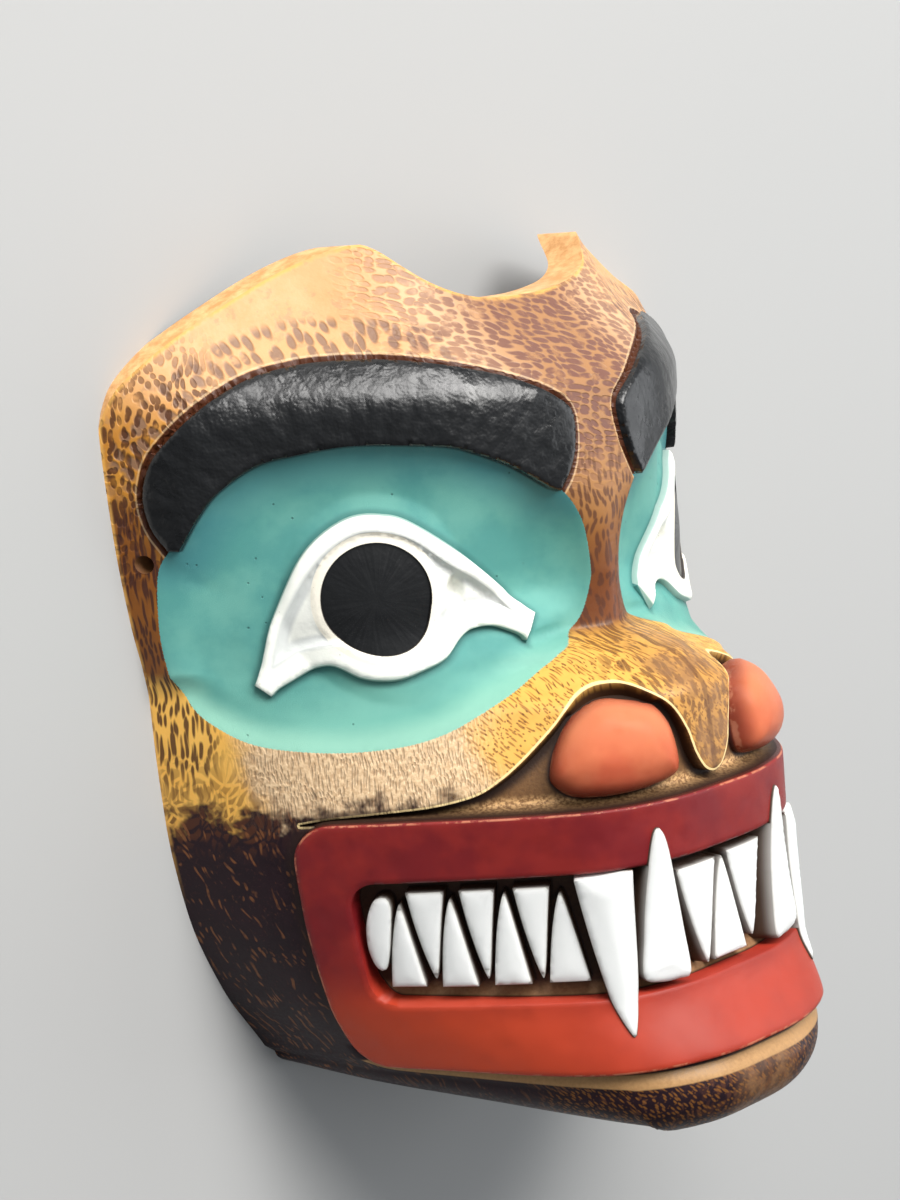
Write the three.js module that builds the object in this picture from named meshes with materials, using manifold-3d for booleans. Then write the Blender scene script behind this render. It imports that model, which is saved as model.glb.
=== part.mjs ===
// A small cast resin bear mask, hollow behind, lying on its flat back rim.
// X runs across the face, +Y towards the forehead and +Z out of the face, in millimetres.
import * as THREE from 'three';
import { mergeVertices } from 'three/addons/utils/BufferGeometryUtils.js';
import Module from 'manifold-3d';

const wasm = await Module();
wasm.setup();

// Driving dimensions
const maskHeight = 148;
const maskWidth = 133;
const maskDepth = 74;
const wall = 4.5;
const tieHoleDiameter = 3;
const tieHoleFromBack = 4;
const browRise = 1.2;
const browGrooveWidth = 1.1;
const browGrooveDepth = 1.0;
const socketDepth = 3.2;
const eyeballRise = 2.6;
const eyelidRise = 1.5;
const eyelidWidth = 3.4;
const eyeWhiteRise = 0.6;
const pupilRimRise = 1.05;
const pupilRadius = 9.3;
const pupilSink = 0.5;
const pupilRim = 1.6;
const tearPitDepth = 2.2;
const noseStep = 2.6;
const nostrilRise = 6.4;
const nostrilSink = 0.4;
const lipRise = 1.6;
const mouthDepth = 3.6;
const toothRise = 0.5;
const toothCrown = 0.35;
const fangRise = 2.2;
const jawEdgeRadius = 9;
// How much higher the underside of the jaw ends at the back rim than at the chin
const jawLift = 8;
// How far an added form reaches into the wall, and how far a cut reaches out past the skin
const rooted = 1.2;
const clear = 6;

// The sections were drawn on a mask of these sizes, and follow the driving ones
const drawnHeight = 148;
const drawnWidth = 133;
const drawnDepth = 74;
const wide = maskWidth / drawnWidth;
const tall = maskHeight / drawnHeight;
const deep = maskDepth / drawnDepth;

// Half the girth of a section, from the midline round to the back edge, counts 90
const girth = 90;

// Sections from the jaw up: a height, then x and z from the midline to the back edge
const sections = [
  [-63, [[0, 74], [11, 73], [21, 67], [28, 56], [35, 38], [40.5, 20], [43.5, 0]]],
  [-58, [[0, 73], [11, 72], [22, 66.5], [29, 56.5], [36.3, 38], [42.3, 20], [46, 0]]],
  [-45, [[0, 66.5], [11, 66], [22, 61.8], [30, 52.5], [40, 36.5], [48.8, 19], [54, 0]]],
  [-30, [[0, 66], [11, 65.3], [21.5, 61.3], [30, 52], [42, 35.5], [52.4, 18], [59.6, 0]]],
  [-14, [[0, 66.8], [11, 66], [21.5, 61.5], [30.5, 52], [42.5, 35.5], [53.5, 18], [62, 0]]],
  [1, [[0, 66], [9, 64], [19, 57], [28, 46.5], [40, 35], [52.5, 19], [62.5, 0]]],
  [7, [[0, 60], [8, 55], [18, 44], [28, 37.5], [40, 30], [52, 18.5], [62.5, 0]]],
  [11.5, [[0, 44], [12, 41.5], [25, 37.5], [38, 30], [50, 20], [60, 9], [63, 0]]],
  [20, [[0, 42.5], [14, 41.5], [27, 38], [38, 30], [50, 20], [60, 9], [64.5, 0]]],
  [35, [[0, 44.5], [11, 44.5], [23, 42], [35, 33], [47, 22.5], [59, 11], [66, 0]]],
  [50, [[0, 45], [11, 45], [23, 41.5], [35, 33], [47, 22], [59, 10.5], [66.5, 0]]],
  [66, [[0, 31], [13, 31], [25, 28], [36, 18.5], [48, 9.5], [59, 2.5], [66, -2.5]]],
  [80, [[0, 24.5], [13, 24.5], [24, 20], [34, 11], [46, 3], [57, -4], [64, -9]]],
];
const sectionHeights = sections.map(([height]) => height * tall);
const sectionPoints = sections.map(([, points]) => points.map(([x, z]) => [x * wide, z * deep]));

// The ridge between the eyes: height on the face, how far it stands up, and its half width
const ridge = [[5, 0, 6], [7, 0.5, 6], [11.5, 3.5, 6], [20, 5, 6], [35, 3.5, 11], [50, 1, 14], [70, 0, 16]];

const lowest = -70.5 * tall;
const highest = 77.5 * tall;
const jawTurn = lowest + jawEdgeRadius;
const jawTurnLength = jawEdgeRadius * Math.PI / 2;
const liftBelow = -57.4 * tall;

// Outlines on the skin, as girth from the midline and height on the face, near side and far side alike
const browTop = [[10.3, 35.6], [8.2, 38.2], [6.6, 42], [6, 45.3], [7, 48.4], [12.4, 51.8], [18.6, 54.3],
  [27, 56.7], [35.4, 58.4], [44.2, 59.1], [53.4, 58.9], [63.1, 57.3], [73, 53.2], [80.3, 47.5], [83, 41], [80.2, 32.4]];
const browBottom = [[11.4, 35.4], [13, 36.2], [19.4, 39.8], [26.1, 42.9], [30.7, 44.4], [39.3, 45.6], [47.9, 46.1],
  [56.7, 45.4], [63.3, 44.2], [70.2, 40.6], [74.4, 36.6], [78.4, 32.1]];
const eyeTop = [[16, 15.2], [22.6, 21.2], [30.3, 27.2], [38.7, 33], [43.4, 34.5], [47.6, 34.7], [51.3, 33.6],
  [55.2, 31.3], [58.4, 28.2], [61.5, 23.6], [65, 17.8], [68, 12.4], [70.8, 8.4]];
const eyeBottom = [[18.8, 11], [22.2, 13], [25.6, 14.2], [29.6, 14], [32.5, 13], [36.4, 10.1], [41, 8.6], [45.5, 7.9],
  [49.6, 8], [53.9, 9.6], [56.4, 11], [61.8, 9.8], [68.4, 6.7]];
const noseEdge = [[0.01, -12.4], [2, -11.6], [3.9, -8.6], [5, -4.6], [6.7, -0.9], [9.8, 2.4], [14.5, 4.1], [18.5, 3.7],
  [22.5, 2], [26.3, -1.4], [31.8, -5.9], [36, -8.9], [40.1, -11], [46.5, -12.4], [54.4, -13.1], [62.4, -13.6], [67, -14.2]];
const lipTopHeight = -14.2;
const lipBottomHeight = -57.4;
const lipEnd = 68.9;
const lipCornerTop = 7;
const lipCornerBottom = 4.5;
const mouthTopHeight = -24.3;
const mouthBottomHeight = -45.2;
const mouthEnd = 60.7;
const mouthCorner = 3.2;

// The top edge seen from the front, from the back of each temple to the dip between the ears
const nearTopEdge = [[67, 50], [66.4, 52.6], [65.2, 55.9], [63, 59.2], [58.4, 62.8], [52, 66.5], [45.8, 69.7],
  [38.2, 73.4], [31.2, 76.2], [26, 77.5], [23.6, 76.6], [20.6, 73.4], [18, 71], [14.4, 68.8], [10, 67.2], [5, 66.5], [0, 66.4]];
const farTopEdge = [[67, 50], [66.4, 52.6], [65.2, 55.9], [63, 59.2], [58.4, 62], [52, 64.6], [45.8, 67.2],
  [38.2, 70.8], [32.2, 73.8], [27.6, 75.3], [25.8, 74.6], [23.2, 71.8], [20.8, 70], [16, 68.2], [11, 67.2], [5, 66.5]];

const eyeCentre = { s: 45.4, h: 20.9 };
const nostril = { s: 18.4, h: -5.6, halfWidth: 10.2, halfHeight: 6.9 };
const tearPit = { s: 30.6, h: 20.2, halfWidth: 2, halfHeight: 2.4 };
const tieHole = { h: 30 };

// Teeth, near side then far side: middle, root, tip, width at the root, how far the tip leans
const upperRoot = -24.6;
const upperTip = -41;
const lowerRoot = -44.4;
const lowerTip = -27.6;
const sideUpper = [[33.2, 5.9], [41.4, 6], [49.5, 6.2]];
const sideLower = [[29.4, 6.6], [38.3, 6.2], [46.7, 6.2], [55, 6.2]];
const rearTooth = [[[59.4, -29], [57.4, -27], [55.3, -28.6]], [[59.6, -37.5], [58.6, -39.2], [57.2, -37]]];
const upperLean = 0.4;
const lowerLean = -0.9;
const tipShare = 0.16;
const frontTeeth = [
  { middle: -5.5, root: upperRoot, tip: -43.3, width: 8.8, lean: 0.5 },
  { middle: 0.7, root: lowerRoot, tip: -27, width: 8, lean: -0.4 },
  { middle: 5.9, root: upperRoot, tip: -42, width: 8.8, lean: 0.4 },
];
const fangs = [
  { middle: 22.2, root: upperRoot + 0.2, tip: -51.8, width: 8.6, lean: 0.1 },
  { middle: 14.4, root: -43.8, tip: -18.4, width: 8.4, lean: -0.4 },
];

// Slopes through the sections that never overshoot a step
function slopes(values) {
  const rise = values.slice(1).map((value, i) => (value - values[i]) / (sectionHeights[i + 1] - sectionHeights[i]));
  const inner = rise.slice(1).map((next, i) => (next * rise[i] > 0 ? 2 * next * rise[i] / (next + rise[i]) : 0));
  return [rise[0], ...inner, rise.at(-1)];
}
const pointCount = sectionPoints[0].length;
const tracks = [];
for (let k = 0; k < pointCount; k += 1) {
  for (const axis of [0, 1]) {
    const values = sectionPoints.map((points) => points[k][axis]);
    tracks.push({ values, slope: slopes(values) });
  }
}

// The drawn points of the section at a height
function pointsAt(height) {
  const h = Math.min(Math.max(height, sectionHeights[0]), sectionHeights.at(-1));
  let i = sectionHeights.findLastIndex((value) => value <= h);
  i = Math.min(i, sectionHeights.length - 2);
  const span = sectionHeights[i + 1] - sectionHeights[i];
  const t = (h - sectionHeights[i]) / span;
  const read = ({ values, slope }) => values[i] * (2 * t ** 3 - 3 * t ** 2 + 1)
    + slope[i] * span * (t ** 3 - 2 * t ** 2 + t)
    + values[i + 1] * (3 * t ** 2 - 2 * t ** 3)
    + slope[i + 1] * span * (t ** 3 - t ** 2);
  const points = [];
  for (let k = 0; k < pointCount; k += 1) points.push([read(tracks[2 * k]), read(tracks[2 * k + 1])]);
  return points;
}

// How far the skin is lifted below the lips, from nothing at the chin to the whole lift at the back rim
const chinDepth = pointsAt(jawTurn)[0][1] - jawEdgeRadius;
function liftOf(y, z) {
  const share = THREE.MathUtils.clamp((liftBelow - y) / (liftBelow - lowest), 0, 1);
  return jawLift * share * Math.sqrt(Math.max(1 - Math.max(z, 0) / chinDepth, 0));
}

// A smooth curve through the drawn points of half a section
function curveAt(points, u) {
  const last = points.length - 1;
  const before = [-points[1][0], points[1][1]];
  const after = [2 * points[last][0] - points[last - 1][0], 2 * points[last][1] - points[last - 1][1]];
  const all = [before, ...points, after];
  const i = Math.min(Math.floor(u * last), last - 1);
  const t = u * last - i;
  return [0, 1].map((axis) => {
    const [a, b, c, d] = all.slice(i, i + 4).map((point) => point[axis]);
    return 0.5 * (2 * b + (c - a) * t + (2 * a - 5 * b + 4 * c - d) * t ** 2 + (3 * b - a - 3 * c + d) * t ** 3);
  });
}

// Reads a list of [x, y, ...] rows at x, joining the rows by straight lines
function readList(rows, x, column = 1) {
  if (x <= rows[0][0]) return rows[0][column];
  const i = rows.findIndex((row) => row[0] >= x);
  if (i < 0) return rows.at(-1)[column];
  const t = (x - rows[i - 1][0]) / (rows[i][0] - rows[i - 1][0]);
  return rows[i - 1][column] + t * (rows[i][column] - rows[i - 1][column]);
}

// Half a section as a chain of points with its length, rounded in below the jaw's edge
const sectionSteps = 96;
const sectionCache = new Map();
function sectionAt(height) {
  if (sectionCache.has(height)) return sectionCache.get(height);
  const drawn = pointsAt(Math.max(height, jawTurn));
  const turn = Math.min(Math.max(jawTurn - height, 0) / jawEdgeRadius, Math.PI / 2);
  const inset = jawEdgeRadius * (1 - Math.cos(turn));
  const y = height >= jawTurn ? height : jawTurn - jawEdgeRadius * Math.sin(turn);
  const narrow = (drawn.at(-1)[0] - inset) / drawn.at(-1)[0];
  const shallow = (drawn[0][1] - inset) / drawn[0][1];
  const ridgeRise = readList(ridge, height / tall, 1) * deep;
  const ridgeWidth = readList(ridge, height / tall, 2) * wide;
  const points = [];
  const lengths = [0];
  for (let i = 0; i <= sectionSteps; i += 1) {
    const [x, z] = curveAt(drawn, i / sectionSteps);
    const across = x * narrow;
    points.push([across, z * shallow + ridgeRise * Math.exp(-((across / ridgeWidth) ** 2))]);
    if (i > 0) lengths.push(lengths[i - 1] + Math.hypot(across - points[i - 1][0], points[i][1] - points[i - 1][1]));
  }
  const section = { points, lengths, y };
  sectionCache.set(height, section);
  return section;
}

// The plain skin at girth s and height h
function skin(s, h) {
  const { points, lengths, y } = sectionAt(h);
  const target = Math.min(Math.abs(s) / girth, 1) * lengths.at(-1);
  let i = lengths.findIndex((length) => length >= target);
  i = Math.max(i, 1);
  const t = (target - lengths[i - 1]) / (lengths[i] - lengths[i - 1]);
  const x = points[i - 1][0] + t * (points[i][0] - points[i - 1][0]);
  const z = points[i - 1][1] + t * (points[i][1] - points[i - 1][1]);
  return new THREE.Vector3(Math.sign(s) * x, y + liftOf(y, z), z);
}

// The skin lifted by a distance along its own normal
const probe = 0.5;
function lifted(s, h, lift) {
  const inside = Math.sign(s) * Math.min(Math.abs(s), girth - 2 * probe);
  const alongGirth = skin(inside + probe, h).sub(skin(inside - probe, h));
  const alongHeight = skin(inside, h + probe).sub(skin(inside, h - probe));
  const normal = alongGirth.cross(alongHeight).normalize();
  return skin(s, h).addScaledVector(normal, lift);
}

// Smooth relief: the eye sockets are dished and the eyeballs swell out of them
const socket = { s: 44.5, h: 19.5, halfWidth: 41, halfHeight: 23.5, floorShare: 0.5 };
const eyeballReach = 17;
function relief(s, h) {
  const a = Math.abs(s);
  const face = h / tall;
  const q = Math.hypot((a - socket.s) / socket.halfWidth, (face - socket.h) / socket.halfHeight);
  const dish = socketDepth * (1 - THREE.MathUtils.smoothstep(q, socket.floorShare, 1));
  const r = Math.hypot(a - eyeCentre.s, face - eyeCentre.h) / eyeballReach;
  const ball = eyeballRise * Math.max(0, 1 - r * r);
  return ball - dish;
}
const shaped = (s, h, lift = 0) => lifted(s, h, relief(s, h) + lift);

// Solids
function solid(positions, index) {
  const geometry = new THREE.BufferGeometry();
  geometry.setAttribute('position', new THREE.Float32BufferAttribute(positions, 3));
  geometry.setIndex(index);
  return solidFrom(geometry);
}

function solidFrom(source) {
  const geometry = source.clone();
  geometry.deleteAttribute('normal');
  geometry.deleteAttribute('uv');
  const merged = mergeVertices(geometry, 1e-5);
  const vertices = Float32Array.from(merged.attributes.position.array);
  const corners = [];
  for (let i = 0; i < merged.index.count; i += 3) {
    const [a, b, c] = [0, 1, 2].map((k) => merged.index.getX(i + k));
    if (a !== b && b !== c && c !== a) corners.push(a, b, c);
  }
  if (signedVolume(vertices, corners) < 0) {
    for (let i = 0; i < corners.length; i += 3) [corners[i], corners[i + 1]] = [corners[i + 1], corners[i]];
  }
  return new wasm.Manifold(new wasm.Mesh({
    numProp: 3,
    vertProperties: vertices,
    triVerts: Uint32Array.from(corners),
  }));
}

function signedVolume(vertices, corners) {
  let sum = 0;
  for (let i = 0; i < corners.length; i += 3) {
    const [a, b, c] = [0, 1, 2].map((k) => new THREE.Vector3().fromArray(vertices, 3 * corners[i + k]));
    sum += a.dot(b.cross(c));
  }
  return sum;
}

// Closes two sheets of points, of one size and lying over each other, into a solid
function slab(outer, inner) {
  const rows = outer.length;
  const columns = outer[0].length;
  const positions = [];
  for (const sheet of [outer, inner]) {
    for (const row of sheet) for (const point of row) positions.push(point.x, point.y, point.z);
  }
  const at = (sheet, i, j) => sheet * rows * columns + i * columns + j;
  const index = [];
  const quad = (a, b, c, d) => index.push(a, b, c, a, c, d);
  for (let i = 0; i + 1 < rows; i += 1) {
    for (let j = 0; j + 1 < columns; j += 1) {
      quad(at(0, i, j), at(0, i, j + 1), at(0, i + 1, j + 1), at(0, i + 1, j));
      quad(at(1, i, j), at(1, i + 1, j), at(1, i + 1, j + 1), at(1, i, j + 1));
    }
    quad(at(0, i, 0), at(0, i + 1, 0), at(1, i + 1, 0), at(1, i, 0));
    quad(at(0, i + 1, columns - 1), at(0, i, columns - 1), at(1, i, columns - 1), at(1, i + 1, columns - 1));
  }
  for (let j = 0; j + 1 < columns; j += 1) {
    quad(at(0, 0, j + 1), at(0, 0, j), at(1, 0, j), at(1, 0, j + 1));
    quad(at(0, rows - 1, j), at(0, rows - 1, j + 1), at(1, rows - 1, j + 1), at(1, rows - 1, j));
  }
  return solid(positions, index);
}

// A band of skin between an upper and a lower edge, from one lift to another, as a solid
function band(upper, lower, across, low, high) {
  const sheet = (lift) => upper.map(([s, h], i) => {
    const row = [];
    for (let k = 0; k <= across; k += 1) {
      const t = k / across;
      const girthHere = s + t * (lower[i][0] - s);
      const heightHere = (h + t * (lower[i][1] - h)) * tall;
      row.push(lifted(girthHere, heightHere, lift(girthHere, heightHere)));
    }
    return row;
  });
  return slab(sheet(high), sheet(low));
}
const level = (lift) => () => lift;
const overRelief = (lift) => (s, h) => relief(s, h) + lift;
const flip = (outline) => outline.map(([s, h]) => [-s, h]);

// Samples a smooth curve through outline points at equal steps
function smooth(outline, count) {
  const curve = new THREE.CatmullRomCurve3(outline.map(([s, h]) => new THREE.Vector3(s, h, 0)), false, 'centripetal');
  return curve.getSpacedPoints(count).map(({ x, y }) => [x, y]);
}

// Both edges of a band that is the same on the two sides of the face
function bothSides(upper, lower, across, low, high) {
  return band(upper, lower, across, low, high).add(band(flip(upper), flip(lower), across, low, high));
}

// A rounded rectangle on the skin, given by its edges and corner radii, as two edges for a band
function roundedEdges(end, top, bottom, topCorner, bottomCorner, step) {
  const stations = [];
  const cornerSteps = 3;
  for (let i = 0; i <= cornerSteps; i += 1) {
    stations.push(end - Math.max(topCorner, bottomCorner) * (1 - Math.cos(i / cornerSteps * Math.PI / 2)) - 0.02);
  }
  const inner = stations.at(-1);
  const count = Math.ceil(inner / step);
  for (let i = 1; i <= count; i += 1) stations.push(inner * (1 - i / count));
  const right = stations.map((s) => [s, drop(end - s, topCorner), drop(end - s, bottomCorner)]);
  const all = [...right.map(([s, t, b]) => [-s, t, b]), ...right.reverse().slice(1)];
  return [all.map(([s, t]) => [s, top - t]), all.map(([s, , b]) => [s, bottom + b])];
}
function drop(fromEnd, radius) {
  return fromEnd >= radius ? 0 : radius - Math.sqrt(radius ** 2 - (radius - fromEnd) ** 2);
}

// The outside of the mask as one solid body, still full and running on behind the back
const behind = 3;
const faceRows = [-60, -53, -45, -37, -29, -21, -14, -8, -3, 0.5, 3, 5.5, 8, 10.5, 13.5, 18, 23.5, 29, 34.5, 40, 46,
  52, 58, 64, 71, 80];
const girthColumns = 36;
const jawTurnSteps = 3;
function fullBody() {
  const heights = [];
  for (let i = jawTurnSteps; i > 0; i -= 1) heights.push(jawTurn - jawTurnLength * i / jawTurnSteps);
  heights.push(...faceRows.map((row) => row * tall));
  const rings = heights.map((h) => {
    const ring = [];
    for (let j = 0; j <= girthColumns; j += 1) {
      const s = girth * (2 * j / girthColumns - 1);
      ring.push(shaped(s === 0 ? 1e-6 : s, h));
    }
    return closedBehind(ring);
  });
  return loft(rings);
}
function closedBehind(ring) {
  const first = ring[0].clone().setZ(Math.min(ring[0].z, 0) - behind);
  const last = ring.at(-1).clone().setZ(Math.min(ring.at(-1).z, 0) - behind);
  return [first, ...ring, last];
}

// Joins rings of equal count into a solid, with its ends closed from side to side
function loft(rings) {
  const count = rings[0].length;
  const positions = rings.flat().flatMap(({ x, y, z }) => [x, y, z]);
  const index = [];
  for (let i = 0; i + 1 < rings.length; i += 1) {
    for (let j = 0; j < count; j += 1) {
      const next = (j + 1) % count;
      const [a, b, c, d] = [i * count + j, i * count + next, (i + 1) * count + next, (i + 1) * count + j];
      index.push(a, b, c, a, c, d);
    }
  }
  const top = (rings.length - 1) * count;
  for (let j = 0; 2 * j < count - 2; j += 1) {
    const k = count - 1 - j;
    index.push(j, k - 1, j + 1, j, k, k - 1);
    index.push(top + j, top + j + 1, top + k - 1, top + j, top + k - 1, top + k);
  }
  return solid(positions, index);
}

// The hollow behind the face: each section pulled in by the wall, and nowhere nearer to the skin than that
const hollowRowStep = 8;
const hollowColumns = 16;
function hollow() {
  const rings = [];
  const top = sectionHeights.at(-1) + behind;
  const bottom = lowest + jawLift + wall;
  const count = Math.round((top - bottom) / hollowRowStep);
  for (let i = 0; i <= count; i += 1) {
    const h = bottom + (top - bottom) * i / count;
    const ring = [];
    for (let j = 0; j <= hollowColumns; j += 1) {
      const s = girth * (2 * j / hollowColumns - 1);
      ring.push(pulledIn(s === 0 ? 1e-6 : s, h));
    }
    rings.push(closedBehind(ring));
  }
  return loft(rings);
}
function pulledIn(s, h) {
  const reach = [-wall, -wall / 2, 0, wall / 2, wall].map((step) => {
    const height = Math.max(h + step, jawTurn - jawTurnLength);
    return shaped(s, height, 0).setY(h);
  });
  const near = reach.reduce((least, point) => (Math.hypot(point.x, point.z) < Math.hypot(least.x, least.z) ? point : least));
  const radius = Math.hypot(near.x, near.z);
  const keep = Math.max(1 - (wall + socketDepth / 4) / radius, 0.2);
  return new THREE.Vector3(near.x * keep, h, near.z * keep);
}

// What stays of the front view inside the top edge, from the back plane forward
function frontOutline() {
  const right = farTopEdge.map(([x, y]) => new THREE.Vector2(x * wide, y * tall));
  const left = nearTopEdge.map(([x, y]) => new THREE.Vector2(-x * wide, y * tall)).reverse();
  const reach = maskWidth;
  const shape = new THREE.Shape([
    new THREE.Vector2(-reach, -maskHeight),
    new THREE.Vector2(reach, -maskHeight),
    new THREE.Vector2(reach, right[0].y),
    ...right,
    ...left,
    new THREE.Vector2(-reach, right[0].y),
  ]);
  return solidFrom(new THREE.ExtrudeGeometry(shape, { depth: 2 * maskDepth, bevelEnabled: false }));
}

// A tooth: a wedge from its root to its tip, lifted off the floor of the mouth
function tooth({ middle, root, tip, width, lean }, lift, side) {
  const tipWidth = tipShare * width;
  const left = [side * (middle - width / 2), root];
  const right = [side * (middle + width / 2), root];
  const tipLeft = [side * (middle + lean - tipWidth / 2), tip];
  const tipRight = [side * (middle + lean + tipWidth / 2), tip];
  const crown = (s) => lift + toothCrown * Math.cos((s - side * middle) / width * Math.PI);
  const centreRoot = [side * middle, root];
  const centreTip = [side * (middle + lean), tip];
  return band([left, centreRoot, right], [tipLeft, centreTip, tipRight], 2, level(-mouthDepth - rooted), crown);
}

function teeth() {
  const all = [];
  for (const side of [-1, 1]) {
    for (const fang of fangs) all.push(tooth(fang, fangRise, side));
    for (const [middle, width] of sideUpper) {
      all.push(tooth({ middle, root: upperRoot, tip: upperTip, width, lean: upperLean }, toothRise, side));
    }
    for (const [middle, width] of sideLower) {
      all.push(tooth({ middle, root: lowerRoot, tip: lowerTip, width, lean: lowerLean }, toothRise, side));
    }
    const [top, bottom] = rearTooth.map((edge) => edge.map(([s, h]) => [side * s, h]));
    all.push(band(top, bottom, 2, level(-mouthDepth - rooted), level(toothRise)));
  }
  for (const front of frontTeeth) all.push(tooth(front, toothRise, 1));
  return all.reduce((sum, one) => sum.add(one));
}

// The eyelids: a raised almond with its middle sunk again, and the pupil's disc inside
function eyes(mask) {
  const steps = 13;
  const upper = smooth(eyeTop, steps);
  const lower = smooth(eyeBottom, steps);
  let made = mask.add(bothSides(upper, lower, 2, overRelief(-rooted), overRelief(eyelidRise)));
  const innerUpper = upper.map(([s, h], i) => inwards([s, h], lower[i], eyelidWidth));
  const innerLower = lower.map(([s, h], i) => inwards([s, h], upper[i], eyelidWidth));
  const open = innerUpper.map((point, i) => [point, innerLower[i]]).filter(([high, low]) => high[1] - low[1] > 1);
  const opening = [open.map(([high]) => high), open.map(([, low]) => low)];
  made = made.subtract(bothSides(...opening, 2, overRelief(eyeWhiteRise), overRelief(clear)));
  const ring = disc(eyeCentre, pupilRadius + pupilRim, pupilRadius + pupilRim, 10);
  made = made.add(bothSides(...ring, 2, overRelief(-rooted), overRelief(pupilRimRise)));
  const pupil = disc(eyeCentre, pupilRadius, pupilRadius, 10);
  made = made.subtract(bothSides(...pupil, 2, overRelief(pupilRimRise - pupilSink), overRelief(clear)));
  const pit = disc(tearPit, tearPit.halfWidth, tearPit.halfHeight, 5);
  return made.subtract(bothSides(...pit, 1, overRelief(eyeWhiteRise - tearPitDepth), overRelief(clear)));
}
function inwards([s, h], [, target], width) {
  return [s, h + Math.sign(target - h) * Math.min(width, Math.abs(target - h) / 2)];
}
function disc(centre, halfWidth, halfHeight, steps) {
  const upper = [];
  const lower = [];
  for (let i = 0; i <= steps; i += 1) {
    const angle = Math.PI * (0.02 + 0.96 * i / steps);
    const s = centre.s - halfWidth * Math.cos(angle);
    upper.push([s, centre.h + halfHeight * Math.sin(angle)]);
    lower.push([s, centre.h - halfHeight * Math.sin(angle)]);
  }
  return [upper, lower];
}

// The brows: a raised band with a groove along its upper edge
function brows(mask) {
  const steps = 15;
  const upper = smooth(browTop, steps);
  const lower = smooth(browBottom, steps);
  const outside = upper.map(([s, h], i) => beyond([s, h], lower[i], browGrooveWidth));
  const inside = upper.map(([s, h], i) => beyond([s, h], lower[i], -browGrooveWidth / 2));
  return mask
    .subtract(bothSides(outside, inside, 1, level(-browGrooveDepth), level(behind)))
    .add(bothSides(upper, lower, 2, level(-socketDepth - rooted), level(browRise)));
}
function beyond([s, h], [fromS, fromH], width) {
  const length = Math.hypot(s - fromS, h - fromH);
  return [s + (s - fromS) / length * width, h + (h - fromH) / length * width];
}

// The nose: its skin overhangs a recess, and a round nostril fills each side of it
function nose(mask) {
  const half = smooth(noseEdge, 16);
  const edge = [...flip(half).reverse(), ...half.slice(1)];
  const foot = edge.map(([s]) => [s, lipTopHeight - rooted]);
  const made = mask.subtract(band(edge, foot, 2, level(-noseStep), level(behind)));
  const dome = (s, h) => {
    const q = Math.hypot((Math.abs(s) - nostril.s) / nostril.halfWidth, (h / tall - nostril.h) / nostril.halfHeight);
    return -noseStep - nostrilSink + nostrilRise * Math.sqrt(Math.max(0, 1 - Math.min(q, 1) ** 2));
  };
  const round = disc(nostril, nostril.halfWidth, nostril.halfHeight, 10);
  return made.add(bothSides(...round, 5, level(-noseStep - rooted), dome));
}

// The mouth: raised lips all round a sunk opening
const lipStep = 5.5;
function mouth(mask) {
  const lips = roundedEdges(lipEnd, lipTopHeight, lipBottomHeight, lipCornerTop, lipCornerBottom, lipStep);
  const opening = roundedEdges(mouthEnd, mouthTopHeight, mouthBottomHeight, mouthCorner, mouthCorner, lipStep);
  return mask
    .add(band(...lips, 4, level(-noseStep - rooted), level(lipRise)))
    .subtract(band(...opening, 3, level(-mouthDepth), level(behind)));
}

// A tie hole through each temple, square to the side wall
function tieHoles(mask) {
  let made = mask;
  for (const side of [-1, 1]) {
    const hole = new THREE.CylinderGeometry(tieHoleDiameter / 2, tieHoleDiameter / 2, 6 * wall, 16);
    hole.rotateZ(Math.PI / 2);
    hole.translate(side * skin(girth, tieHole.h * tall).x, tieHole.h * tall, tieHoleFromBack);
    made = made.subtract(solidFrom(hole));
  }
  return made;
}

function mask() {
  const shell = fullBody().intersect(frontOutline()).subtract(hollow());
  return tieHoles(mouth(nose(eyes(brows(shell))))).add(teeth());
}

function meshFrom(body, name, material) {
  const { vertProperties, triVerts, numProp } = body.getMesh();
  const positions = new Float32Array(vertProperties.length / numProp * 3);
  for (let i = 0; i < positions.length / 3; i += 1) {
    for (let k = 0; k < 3; k += 1) positions[3 * i + k] = vertProperties[numProp * i + k];
  }
  const geometry = new THREE.BufferGeometry();
  geometry.setAttribute('position', new THREE.BufferAttribute(positions, 3));
  geometry.setIndex(new THREE.BufferAttribute(triVerts, 1));
  geometry.computeVertexNormals();
  const mesh = new THREE.Mesh(geometry, material);
  mesh.name = name;
  return mesh;
}

const paintedResin = new THREE.MeshStandardMaterial({ color: 0xb9793a, roughness: 0.55, metalness: 0 });
const bearMask = meshFrom(mask(), 'bear_mask', paintedResin);
// The origin is under the middle of the mask as it lies
bearMask.position.y = -(highest + lowest) / 2;
const group = new THREE.Group();
group.add(bearMask);
export default group;
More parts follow.
